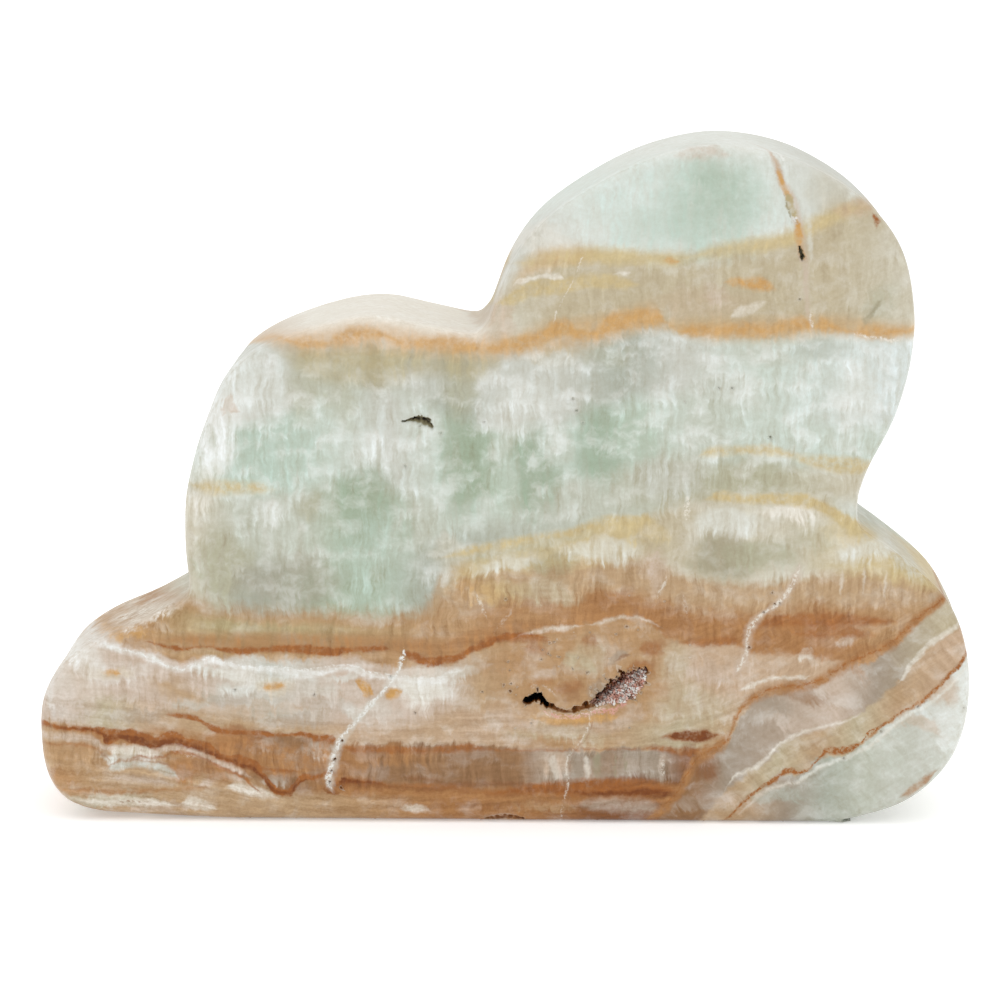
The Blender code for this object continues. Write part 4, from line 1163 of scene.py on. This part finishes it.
def hollowed(g, places, colour):
    """Colour with pale rims at the hollows, floors in them that are partly brown stain and partly
    painted shade, painted black shade at their deepest, and the sides and back greyed, partly as a
    duller skin and partly as painted shade."""
    deep = g.add("ShaderNodeAttribute", attribute_name="hollow").outputs["Fac"]
    start, full, gone = RIM_DEPTHS
    rim = g.times(g.ramp(deep, start, full, 0.0, RIM_SHARE), g.ramp(deep, full, gone, 1.0, 0.0))
    colour = g.mix(rim, colour, painted("cream"))
    # Brown to olive floors, partly stain and partly painted shade, then black painted shade deepest.
    floor = g.mix(g.ramp(places["z_fine"], *OLIVE_HEIGHTS), painted("cocoa"), painted("dusk"))
    colour = g.mix(g.ramp(deep, *FLOOR_STAIN_AND_SHADE_DEPTHS), colour, floor)
    colour = g.mix(g.ramp(deep, *HOLLOW_SHADE_DEPTHS), colour, painted("soot"))
    # The sides and back greyed towards ash: partly a duller skin, partly painted shade.
    dullness = bpy.context.scene.calcite_stone.dullness
    dull_and_shade = g.ramp(places["depth"], *DULL_AND_SHADE_DEPTHS, 0.0, dullness)
    return g.mix(dull_and_shade, colour, painted("ash"))


def stone_material(title, zone):
    """The material of one zone of the stone, with the markings that reach into it."""
    material = bpy.data.materials.new(title)
    material.use_nodes = True
    g = Graph(material.node_tree)
    places = stone_places(g)
    patches = [p for p in PATCHES
               if in_zone([(*on_face(*p[:2]), max(p[2:4]) * PATCH_REACH + ZONE_MARGIN)], zone)]
    seams = [seam for seam in SEAMS if in_zone(route_spots(seam[3]), zone)]
    veins = [vein for vein in VEINS if in_zone(route_spots(vein[3]), zone)]
    colour, character = add_layers(g, places, zone_layers(zone))
    character = g.add("ShaderNodeSeparateColor", {0: character}).outputs[:3]
    colour = marked(g, places, colour, add_patches, patches)
    colour = clouded(g, places, colour, character[1])
    colour = marked(g, places, colour, add_seams, seams)
    colour = textured(g, places, colour, character)
    colour = marked(g, places, colour, add_veins, veins)
    colour = hollowed(g, places, colour)
    look = bpy.context.scene.calcite_stone
    inward = g.math("MINIMUM", places["depth"], g.minus(BACK - FRONT, places["depth"]))
    shader = g.add("ShaderNodeBsdfPrincipled", {
        "Base Color": colour,
        "Roughness": g.ramp(inward, *POLISH_DEPTHS, look.roughness, look.sides),
        "IOR": STONE_IOR,
        "Specular IOR Level": look.specular,
    })
    g.add("ShaderNodeOutputMaterial", {"Surface": shader.outputs[0]})
    return material


def zones():
    """The boxes that the face is shared out in: left, right, low and high."""
    across = (-FAR, *ACROSS_CUTS, FAR)
    upward = (-FAR, *UPWARD_CUTS, FAR)
    return [(left, right, low, high) for low, high in zip(upward, upward[1:])
            for left, right in zip(across, across[1:])]


def zone_of_faces(points, faces):
    """The zone of each face, by where its layers come to the front."""
    middles = points[faces].mean(1)
    fronts = middles + (middles[:, 1:2] - FRONT) * np.array(LEAN)
    row = np.searchsorted(UPWARD_CUTS, fronts[:, 2])
    column = np.searchsorted(ACROSS_CUTS, fronts[:, 0])
    return row * (len(ACROSS_CUTS) + 1) + column


def sugar_pits():
    """Small pits that thin out away from the vug."""
    spread = np.random.default_rng(SUGAR_SEED)
    low, high = np.array(SUGAR_FROM), np.array(SUGAR_TO)
    places = np.clip(spread.normal((low + high) / 2, (high - low) / 4, (SUGAR_PITS, 2)), low, high)
    sizes = spread.uniform(*SUGAR_SIZES, SUGAR_PITS)
    return [(px, py, size, size * SUGAR_DEPTH) for (px, py), size in zip(places, sizes)]


def frame_outline():
    """The stone's outline, read from the straight edges that run through its thickness."""
    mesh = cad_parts["calcite_cloud"].data
    found = set()
    for edge in mesh.edges:
        a, b = (mesh.vertices[i].co / MM for i in edge.vertices)
        if a.y * b.y < 0 and math.hypot(a.x - b.x, a.z - b.z) < SAME_PLACE:
            found.add((round(a.x, 3), round(a.z, 3)))
    return sorted(found, key=lambda p: -math.atan2(p[1] - STONE_HEART[1], p[0] - STONE_HEART[0]))


def outline_runs(points):
    """The outline cut into smooth runs at its notches, where it turns in sharply."""
    count = len(points)
    notches = []
    for i in range(count):
        a, b, c = (Vector(points[(i + k) % count]) for k in (-1, 0, 1))
        arriving, leaving = b - a, c - b
        if math.degrees(math.atan2(arriving.cross(leaving), arriving.dot(leaving))) > NOTCH_TURN:
            notches.append(i)
    return [[Vector(points[i % count]) for i in range(first, last + 1)]
            for first, last in zip(notches, notches[1:] + [notches[0] + count])]


def smooth_curve(points, pieces):
    """A Catmull-Rom curve through the points, with each stretch cut into pieces."""
    ends = [points[0] * 2 - points[1]] + points + [points[-1] * 2 - points[-2]]
    curve = [points[0]]
    for a, b, c, d in zip(ends, ends[1:], ends[2:], ends[3:]):
        for i in range(1, pieces + 1):
            t = i / pieces
            curve.append(0.5 * (2 * b + (c - a) * t + (2 * a - 5 * b + 4 * c - d) * t * t
                                + (3 * b - a - 3 * c + d) * t ** 3))
    return curve


def stone_outline(pieces=5, wear=3):
    """The fine outline as an array of x and z, its notches worn a little rounder."""
    fine = []
    for run in outline_runs(frame_outline()):
        fine += smooth_curve(run, pieces)[:-1]
    ring = np.array([tuple(p) for p in fine])
    for _ in range(wear):
        ring = (np.roll(ring, 1, 0) + 2 * ring + np.roll(ring, -1, 0)) / 4
    ring[:, 1] = np.maximum(ring[:, 1], 0.0)
    return ring


def outward(ring):
    """Unit normals of a closed ring that runs clockwise."""
    ahead = np.roll(ring, -1, 0) - np.roll(ring, 1, 0)
    normal = np.stack([-ahead[:, 1], ahead[:, 0]], 1)
    return normal / np.linalg.norm(normal, axis=1, keepdims=True)


def tree_of(points):
    tree = kdtree.KDTree(len(points))
    for i, (x, z) in enumerate(points):
        tree.insert((x, z, 0.0), i)
    tree.balance()
    return tree


def ring_distance(points, ring):
    """How far each point is inside the outline. It is under nought outside."""
    tree = tree_of(ring)
    count = len(ring)
    nearest = np.array([tree.find((x, z, 0.0))[1] for x, z in points])
    gap = np.full(len(points), np.inf)
    for side in (-1, 0):
        start = ring[(nearest + side) % count]
        step = ring[(nearest + side + 1) % count] - start
        offset = points - start
        along = np.clip((offset * step).sum(1) / (step ** 2).sum(1), 0.0, 1.0)
        gap = np.minimum(gap, np.linalg.norm(offset - along[:, None] * step, axis=1))
    out = ((points - ring[nearest]) * outward(ring)[nearest]).sum(1) > 0
    return np.where(out, -gap, gap)


def route_reach(points, route):
    """For each point, how many half widths it is from a route, and how far to its left."""
    nearest = np.full(len(points), np.inf)
    side = np.zeros(len(points))
    for a, b in zip(route, route[1:]):
        start, step = np.array(a[:2]), np.array(b[:2]) - np.array(a[:2])
        offset = points - start
        along = np.clip(offset @ step / (step @ step), 0.0, 1.0)
        width = np.maximum(a[2] + (b[2] - a[2]) * along, LEAST_HALF_WIDTH)
        gap = offset - along[:, None] * step
        reach = np.sqrt((gap ** 2).sum(1)) / width
        nearer = reach < nearest
        nearest = np.where(nearer, reach, nearest)
        left = (gap[:, 1] * step[0] - gap[:, 0] * step[1]) / np.linalg.norm(step) / width
        side = np.where(nearer, left, side)
    return nearest, side


def rough(points, noises):
    """Smooth noise about nought at each 2-D point, the sum of the noises: share, turns for
    each millimetre and seed."""
    return sum(share * np.array([noise.noise((x * scale, z * scale, seed)) for x, z in points])
               for share, scale, seed in noises)


def step_down(value, full, none):
    """1 below full, 0 above none, and smooth between."""
    t = np.clip((value - full) / (none - full), 0.0, 1.0)
    return 1.0 - t * t * (3.0 - 2.0 * t)


def hollow_depths(points):
    """The depth of the hollows, cracks and pits at points of the front face."""
    depth = np.zeros(len(points))
    ragged = 1.0 + rough(points, RAGGED)
    uneven = 1.0 + rough(points, UNEVEN)
    for deepest, fall, route in HOLLOWS:
        reach, side = route_reach(points, face_route(route))
        slant = 1.0 - fall + fall * np.clip(side + 0.5, 0.0, 1.0)
        own = deepest * slant * uneven * step_down(reach * ragged, *HOLLOW_WALL)
        depth = np.maximum(depth, own)
    for px, py, radius, deepest in PITS + sugar_pits():
        gap = np.linalg.norm(points - on_face(px, py), axis=1) / (radius * PIXEL)
        depth = np.maximum(depth, deepest * step_down(gap * ragged, *PIT_WALL))
    return depth


def hex_grid(low, high, step):
    rows = np.arange(low[1], high[1], step * math.sqrt(3) / 2)
    columns = np.arange(low[0], high[0], step)
    x = columns[None, :] + (np.arange(len(rows)) % 2)[:, None] * step / 2
    z = np.broadcast_to(rows[:, None], x.shape)
    return np.stack([x.ravel(), z.ravel()], 1)


def clear_of(points, taken, gap):
    """The points that keep a gap to all those that are taken."""
    tree = tree_of(taken)
    far = [tree.find((x, z, 0.0))[2] > gap for x, z in points]
    return points[np.array(far)]


def edge_round(x):
    return bpy.context.scene.calcite_stone.edge / MM - EDGE_ROUND_SLOPE * x


def edge_rows(ring, normals):
    """Rows of points along the rounded edge of a face."""
    rows = []
    for i in range(1, EDGE_STEPS + 1):
        inset = edge_round(ring[:, 0]) * (1 - math.cos(math.pi / 2 * i / EDGE_STEPS))
        row = ring - normals * inset[:, None]
        rows.append(row[ring_distance(row, ring) > inset * ROW_GAP])
    return np.concatenate(rows)


def face_points(ring, hollows_too):
    """Places for a face's points: its rounded edge, then grids that are finer at hollows."""
    taken = np.concatenate([ring, edge_rows(ring, outward(ring))])
    low, high = ring.min(0), ring.max(0)
    fine, middling, _ = GRID_STEPS
    for step in GRID_STEPS:
        grid = hex_grid(low, high, step)
        if step == fine:
            if not hollows_too:
                continue
            grid = grid[near_hollows(grid, FINE_MARGIN)]
        elif step == middling:
            inside = ring_distance(grid, ring)
            near = inside < OUTLINE_MARGIN
            if hollows_too:
                near |= near_hollows(grid, MIDDLING_MARGIN)
            grid = grid[near & (inside > OUTLINE_GAP)]
        grid = grid[ring_distance(grid, ring) > OUTLINE_GAP]
        taken = np.concatenate([taken, clear_of(grid, taken, step * GRID_GAP)])
    return taken


def near_hollows(points, margin):
    """Which points are within a margin of a hollow, crack or pit."""
    near = np.zeros(len(points), bool)
    for *_, route in HOLLOWS:
        wide = [(x, z, half + margin * ROUTE_MARGIN) for x, z, half in face_route(route)]
        near |= route_reach(points, wide)[0] < 1.0
    for px, py, radius, _ in PITS + sugar_pits():
        gap = np.linalg.norm(points - on_face(px, py), axis=1)
        near |= gap < radius * PIXEL + margin * PIT_MARGIN
    return near


def flat_mesh(points, ring_size):
    """Points and triangles that fill the outline, its own points first and in order."""
    edges = [(i, (i + 1) % ring_size) for i in range(ring_size)]
    found = delaunay_2d_cdt([Vector(p) for p in points], edges, [], 1, TINY)
    spots, faces, sources = found[0], found[2], found[3]
    order = {source: i for i, names in enumerate(sources) for source in names}
    first = [order[i] for i in range(ring_size)]
    rest = [i for i in range(len(spots)) if i not in set(first)]
    place = {old: new for new, old in enumerate(first + rest)}
    triangles = np.array([[place[i] for i in face] for face in faces])
    return np.array([tuple(spots[i]) for i in first + rest]), triangles


def edge_drop(points, ring):
    """How far the rounded edge falls back from the flat of a face."""
    radius = edge_round(points[:, 0])
    short = np.clip(radius - ring_distance(points, ring), 0.0, radius)
    return radius - np.sqrt(radius ** 2 - short ** 2)


def point_normals(points, triangles):
    corners = points[triangles]
    across = np.cross(corners[:, 1] - corners[:, 0], corners[:, 2] - corners[:, 0])
    normals = np.zeros_like(points)
    for i in range(3):
        np.add.at(normals, triangles[:, i], across)
    return normals / np.maximum(np.linalg.norm(normals, axis=1, keepdims=True), 1e-12)


def placed(spots, y):
    """Points from their x and z and their y."""
    return np.stack([spots[:, 0], y, spots[:, 1]], 1)


def stone_shape():
    """The polished stone as points and triangles, and how deep in a hollow each point is."""
    ring = stone_outline()
    count = len(ring)
    front, front_faces = flat_mesh(face_points(ring, True), count)
    back, back_faces = flat_mesh(face_points(ring, False), count)
    depth = hollow_depths(front)
    drop, back_drop = edge_drop(front, ring), edge_drop(back, ring)
    front_y = FRONT + drop + depth
    back_y = BACK - back_drop
    wall_rows = round((BACK - FRONT) / WALL_STEP)
    near, far = front_y[:count], back_y[:count]
    walls = [placed(ring, near + (far - near) * i / wall_rows) for i in range(1, wall_rows)]
    points = np.concatenate([placed(front, front_y), placed(back, back_y), *walls])
    here = np.arange(count)
    ahead = np.roll(here, -1)
    starts = [0, *(len(front) + len(back) + i * count for i in range(wall_rows - 1)), len(front)]
    faces = [front_faces, back_faces[:, ::-1] + len(front)]
    for a, b in zip(starts, starts[1:]):
        faces.append(np.stack([a + here, a + ahead, b + ahead], 1))
        faces.append(np.stack([a + here, b + ahead, b + here], 1))
    faces = np.concatenate(faces)
    hollow = np.pad(depth, (0, len(points) - len(front)))
    return polish(points, faces), faces, hollow


def polish(points, faces):
    """The slight unevenness that hand polishing leaves, none of it on the ground base."""
    normals = point_normals(points, faces)
    (swell_turns, swell_reach), (ripple_turns, ripple_reach) = POLISH_SWELL, POLISH_RIPPLE
    ripple_place = Vector(RIPPLE_PLACE)
    swell = np.array([noise.noise(Vector(p) * swell_turns) for p in points])
    ripple = np.array([noise.noise(Vector(p) * ripple_turns + ripple_place) for p in points])
    rise = np.clip((points[:, 2] - POLISH_FROM) / POLISH_RISE, 0.0, 1.0)
    move = (swell * swell_reach + ripple * ripple_reach) * rise
    return points + normals * move[:, None]


def linked(name, data):
    """A new object in the scene."""
    item = bpy.data.objects.new(name, data)
    bpy.context.scene.collection.objects.link(item)
    return item


def new_mesh_object(name, points, faces):
    mesh = bpy.data.meshes.new(name)
    mesh.from_pydata((np.asarray(points) * MM).tolist(), [], np.asarray(faces).tolist())
    mesh.validate()
    mesh.update()
    return linked(name, mesh)


class CALCITE_OT_stone(bpy.types.Operator):
    """Make the polished stone with its vugs, cracks and pits"""
    bl_idname = "calcite.stone"
    bl_label = "Polished Stone"

    def execute(self, context):
        points, faces, hollow = stone_shape()
        piece = new_mesh_object("polished_stone", points, faces)
        piece.data.attributes.new("hollow", "FLOAT", "POINT").data.foreach_set("value", hollow)
        piece.data.shade_smooth()
        for i, zone in enumerate(zones()):
            piece.data.materials.append(stone_material(f"banded_calcite_{i + 1}", zone))
        piece.data.polygons.foreach_set("material_index", zone_of_faces(points, faces))
        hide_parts("calcite_cloud")
        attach(piece, "root")
        return {"FINISHED"}


def crust_sheet():
    """A thin closed sheet that lines the wide end of the vug."""
    low, high = (np.array(on_face(*corner)) for corner in CRUST_CORNERS)
    grid = hex_grid(low, high, CRUST_STEP)
    reach = route_reach(grid, face_route(CRUST_ROUTE))[0] + rough(grid, CRUST_RAGGED)
    grid = grid[reach < 1.0]
    found = delaunay_2d_cdt([Vector(p) for p in grid], [], [], 0, TINY)
    spots = np.array([tuple(p) for p in found[0]])
    longest = CRUST_STEP * LONGEST_SIDE
    faces = np.array([face for face in found[2] if longest_side(spots, face) < longest])
    floor = FRONT + hollow_depths(spots)
    count = len(spots)
    points = np.concatenate([placed(spots, floor - CRUST_LIFT), placed(spots, floor + CRUST_ROOT)])
    sides = {(a, b) for face in faces.tolist() for a, b in zip(face, face[1:] + face[:1])}
    rim = [(b, a) for a, b in sides if (b, a) not in sides]
    walls = [(a, b, b + count) for a, b in rim] + [(a, b + count, a + count) for a, b in rim]
    return points, [*map(tuple, faces), *map(tuple, faces[:, ::-1] + count), *walls]


def longest_side(points, face):
    corners = points[list(face)]
    return np.linalg.norm(corners - np.roll(corners, 1, 0), axis=1).max()


def placed_crystals(g, entry):
    """Small pointed crystals as instances on the front of the lining, tilted at random."""
    facing = g.split(g.add("GeometryNodeInputNormal").outputs[0])[1]
    spots = g.add("GeometryNodeDistributePointsOnFaces", {
        "Mesh": entry["Lining"],
        "Selection": g.math("LESS_THAN", facing, FACING_FRONT),
        "Distance Min": entry["Spacing"],
        "Density Max": DENSEST,
        "Seed": entry["Seed"],
    }, distribute_method="POISSON")
    tilt = g.add("FunctionNodeRandomValue", {
        0: (-CRYSTAL_TILT, -CRYSTAL_TILT, -CRYSTAL_TURN),
        1: (CRYSTAL_TILT, CRYSTAL_TILT, CRYSTAL_TURN),
        "Seed": entry["Seed"],
    }, data_type="FLOAT_VECTOR").outputs[0]
    turn = g.add("FunctionNodeRotateRotation", {0: spots.outputs["Rotation"], 1: tilt},
                 rotation_space="LOCAL").outputs[0]
    size = g.add("FunctionNodeRandomValue", {
        2: entry["Smallest"], 3: entry["Largest"], "Seed": entry["Seed"],
    }).outputs[1]
    crystal = g.add("GeometryNodeMeshCone", {
        "Vertices": CRYSTAL_SIDES,
        "Radius Top": CRYSTAL_TOP,
        "Radius Bottom": CRYSTAL_FOOT,
        "Depth": 1.0,
    }).outputs["Mesh"]
    return g.add("GeometryNodeInstanceOnPoints", {
        "Points": spots.outputs["Points"], "Instance": crystal, "Rotation": turn, "Scale": size,
    }).outputs[0]


def crystal_tree():
    """The node tree that grows crystals on the lining, each with its own glint value."""
    tree = bpy.data.node_groups.new("druzy_crystals", "GeometryNodeTree")
    for name, kind in [("Lining", "Geometry"), ("Spacing", "Float"), ("Smallest", "Float"),
                       ("Largest", "Float"), ("Seed", "Int"), ("Material", "Material")]:
        tree.interface.new_socket(name, in_out="INPUT", socket_type="NodeSocket" + kind)
    tree.interface.new_socket("Crust", in_out="OUTPUT", socket_type="NodeSocketGeometry")
    g = Graph(tree)
    entry = g.add("NodeGroupInput").outputs
    glint = g.add("FunctionNodeRandomValue", {2: 0.0, 3: 1.0, "Seed": GLINT_SEED}).outputs[1]
    grown = g.add("GeometryNodeStoreNamedAttribute", {
        "Geometry": placed_crystals(g, entry), "Name": "glint", "Value": glint,
    }, data_type="FLOAT", domain="INSTANCE").outputs[0]
    loose = g.add("GeometryNodeRealizeInstances", {0: grown}).outputs[0]
    joined = g.add("GeometryNodeJoinGeometry", {0: loose})
    tree.links.new(entry["Lining"], joined.inputs[0])
    coated = g.add("GeometryNodeSetMaterial", {
        "Geometry": joined.outputs[0], "Material": entry["Material"],
    }).outputs[0]
    g.add("NodeGroupOutput", {0: coated})
    return tree


def grown_crust(lining, values):
    """The lining with its crystals as a plain mesh, from the node tree with the values."""
    tree = crystal_tree()
    modifier = lining.modifiers.new("druzy", "NODES")
    modifier.node_group = tree
    for socket in tree.interface.items_tree:
        if socket.in_out == "INPUT" and socket.name in values:
            modifier[socket.identifier] = values[socket.name]
    evaluated = lining.evaluated_get(bpy.context.evaluated_depsgraph_get())
    mesh = bpy.data.meshes.new_from_object(evaluated)
    lining.modifiers.remove(modifier)
    lining.data = mesh
    mesh.shade_flat()
    return lining


def under_shade_line(g, x, z):
    """How far, in millimetres, a place lies under the line above which the crust is shaded."""
    (start_x, start_z), (end_x, end_z) = (on_face(*pixel) for pixel in SHADE_LINE)
    bearing = math.atan2(end_z - start_z, end_x - start_x)
    along = g.times(g.minus(x, start_x), math.sin(bearing))
    up = g.times(g.minus(z, start_z), math.cos(bearing))
    return g.minus(along, up)


def druzy_material():
    """Pinkish white crystals that turn grey towards the crevice, each a little different, with
    painted shade on their upper side.
    """
    material = bpy.data.materials.new("druzy_crystals")
    material.use_nodes = True
    g = Graph(material.node_tree)
    place = g.scaled(g.add("ShaderNodeTexCoord").outputs["Object"], 1 / MM)
    x, _, z = g.split(place)
    glint = g.add("ShaderNodeAttribute", attribute_name="glint").outputs["Fac"]
    clump = g.times_plus(glint, CLUMP_GLINT, g.noise(place, *CLUMP_NOISE))
    pink = g.mix(g.ramp(clump, *CLUMPS), painted("rose"), painted("snow"))
    grey = g.mix(glint, painted("lilac"), painted("milk"))
    left, right = (on_face(*pixel)[0] for pixel in GREY_TO_PINK)
    uneven_x = moved(g, x, g.noise(place, *GREY_NOISE), GREY_REACH)
    colour = g.mix(g.ramp(uneven_x, left, right), grey, pink)
    stain = g.ramp(g.noise(place, *STAIN_NOISE), *STAINS)
    colour = g.mix(stain, colour, painted("cocoa"))
    # Painted shade on the crust above the line.
    under = moved(g, under_shade_line(g, x, z), g.noise(place, *SHADE_NOISE), SHADE_REACH)
    colour = g.mix(g.ramp(under, *SHADE), colour, painted("wine"))
    shader = g.add("ShaderNodeBsdfPrincipled", {
        "Base Color": colour, "Roughness": CRYSTAL_ROUGHNESS,
    })
    g.add("ShaderNodeOutputMaterial", {"Surface": shader.outputs[0]})
    return material


class CALCITE_OT_druzy(bpy.types.Operator):
    """Make the crust of small crystals in the vug's wide end"""
    bl_idname = "calcite.druzy"
    bl_label = "Druzy Crust"

    def execute(self, context):
        crystals = context.scene.calcite_druzy
        points, faces = crust_sheet()
        lining = new_mesh_object("druzy_lining", points, faces)
        piece = grown_crust(lining, {
            "Spacing": crystals.spacing,
            "Smallest": crystals.smallest,
            "Largest": crystals.largest,
            "Seed": crystals.seed,
            "Material": druzy_material(),
        })
        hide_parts("druzy_crust")
        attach(piece, "root")
        return {"FINISHED"}


def area_light(name, place, target, size, watts):
    light = bpy.data.lights.new(name, "AREA")
    light.shape = "RECTANGLE"
    light.size, light.size_y = size
    light.energy = watts
    lamp = linked(name, light)
    lamp.location = place
    lamp.rotation_euler = (Vector(target) - Vector(place)).to_track_quat("-Z", "Y").to_euler()


class CALCITE_OT_stage(bpy.types.Operator):
    """Make the pale floor, the soft lights and the camera"""
    bl_idname = "calcite.stage"
    bl_label = "Studio"

    def execute(self, context):
        scene = context.scene
        scene.view_settings.view_transform = "Standard"
        scene.world = pale_room()
        area_light("top_strip", STRIP_PLACE, STRIP_AIM, STRIP_SIZE, scene.calcite_studio.strip)
        make_floor()
        make_camera()
        return {"FINISHED"}


def pale_room():
    """An even white room that is dimmer towards the horizon, so that the stone's sides keep
    their colour."""
    world = bpy.data.worlds.new("pale_room")
    world.use_nodes = True
    g = Graph(world.node_tree)
    height = g.split(g.add("ShaderNodeTexCoord").outputs["Generated"])[2]
    light = bpy.context.scene.calcite_studio
    strength = g.ramp(height, *ROOM_HEIGHTS, light.horizon, light.overhead)
    glow = g.add("ShaderNodeBackground", {"Color": WHITE, "Strength": strength})
    g.add("ShaderNodeOutputWorld", {"Surface": glow.outputs[0]})
    return world


def make_floor():
    corners = [(x * FLOOR_REACH, y * FLOOR_REACH, 0.0)
               for x, y in ((-1, -1), (1, -1), (1, 1), (-1, 1))]
    floor = new_mesh_object("pale_floor", corners, [(0, 1, 2, 3)])
    material = bpy.data.materials.new("pale_floor")
    material.use_nodes = True
    shader = material.node_tree.nodes["Principled BSDF"]
    look = bpy.context.scene.calcite_studio
    shader.inputs["Base Color"].default_value = (*look.floor, 1.0)
    shader.inputs["Roughness"].default_value = 1.0
    shader.inputs["Specular IOR Level"].default_value = 0.0
    shader.inputs["Emission Color"].default_value = WHITE
    shader.inputs["Emission Strength"].default_value = look.glow
    floor.data.materials.append(material)


def make_camera():
    data = bpy.data.cameras.new("photo_camera")
    data.lens = LENS
    data.sensor_width = SENSOR
    data.clip_end = FARTHEST_SEEN
    camera = linked("photo_camera", data)
    camera.matrix_world = Matrix.Translation(Vector(CAMERA_PLACE) * MM) @ camera_turn().to_4x4()
    bpy.context.scene.camera = camera


GROUPS = {
    "calcite_colours": CALCITE_PG_colours,
    "calcite_stone": CALCITE_PG_stone,
    "calcite_druzy": CALCITE_PG_druzy,
    "calcite_studio": CALCITE_PG_studio,
}


class CALCITE_PT_build(bpy.types.Panel):
    """The steps that build the carving, with their settings"""
    bl_idname = "CALCITE_PT_build"
    bl_label = "Banded Calcite Cloud"
    bl_space_type = "VIEW_3D"
    bl_region_type = "UI"
    bl_category = "Calcite"

    def draw(self, context):
        steps = [(CALCITE_OT_stage, "calcite_studio"), (CALCITE_OT_stone, "calcite_stone"),
                 (CALCITE_OT_druzy, "calcite_druzy")]
        for step, group in steps:
            box = self.layout.box()
            box.operator(step.bl_idname)
            self.list_settings(box, context, group)
        box = self.layout.box()
        box.label(text="Colours")
        self.list_settings(box, context, "calcite_colours")

    def list_settings(self, box, context, group):
        for name in GROUPS[group].__annotations__:
            box.prop(getattr(context.scene, group), name)


CLASSES = (*GROUPS.values(), CALCITE_OT_stone, CALCITE_OT_druzy, CALCITE_OT_stage, CALCITE_PT_build)


def register():
    for item in CLASSES:
        bpy.utils.register_class(item)
    for name, group in GROUPS.items():
        setattr(bpy.types.Scene, name, PointerProperty(type=group))


def unregister():
    for name in GROUPS:
        delattr(bpy.types.Scene, name)
    for item in reversed(CLASSES):
        bpy.utils.unregister_class(item)


def main():
    register()
    bpy.ops.calcite.stage()
    bpy.ops.calcite.stone()
    bpy.ops.calcite.druzy()


if __name__ == "__main__":
    main()
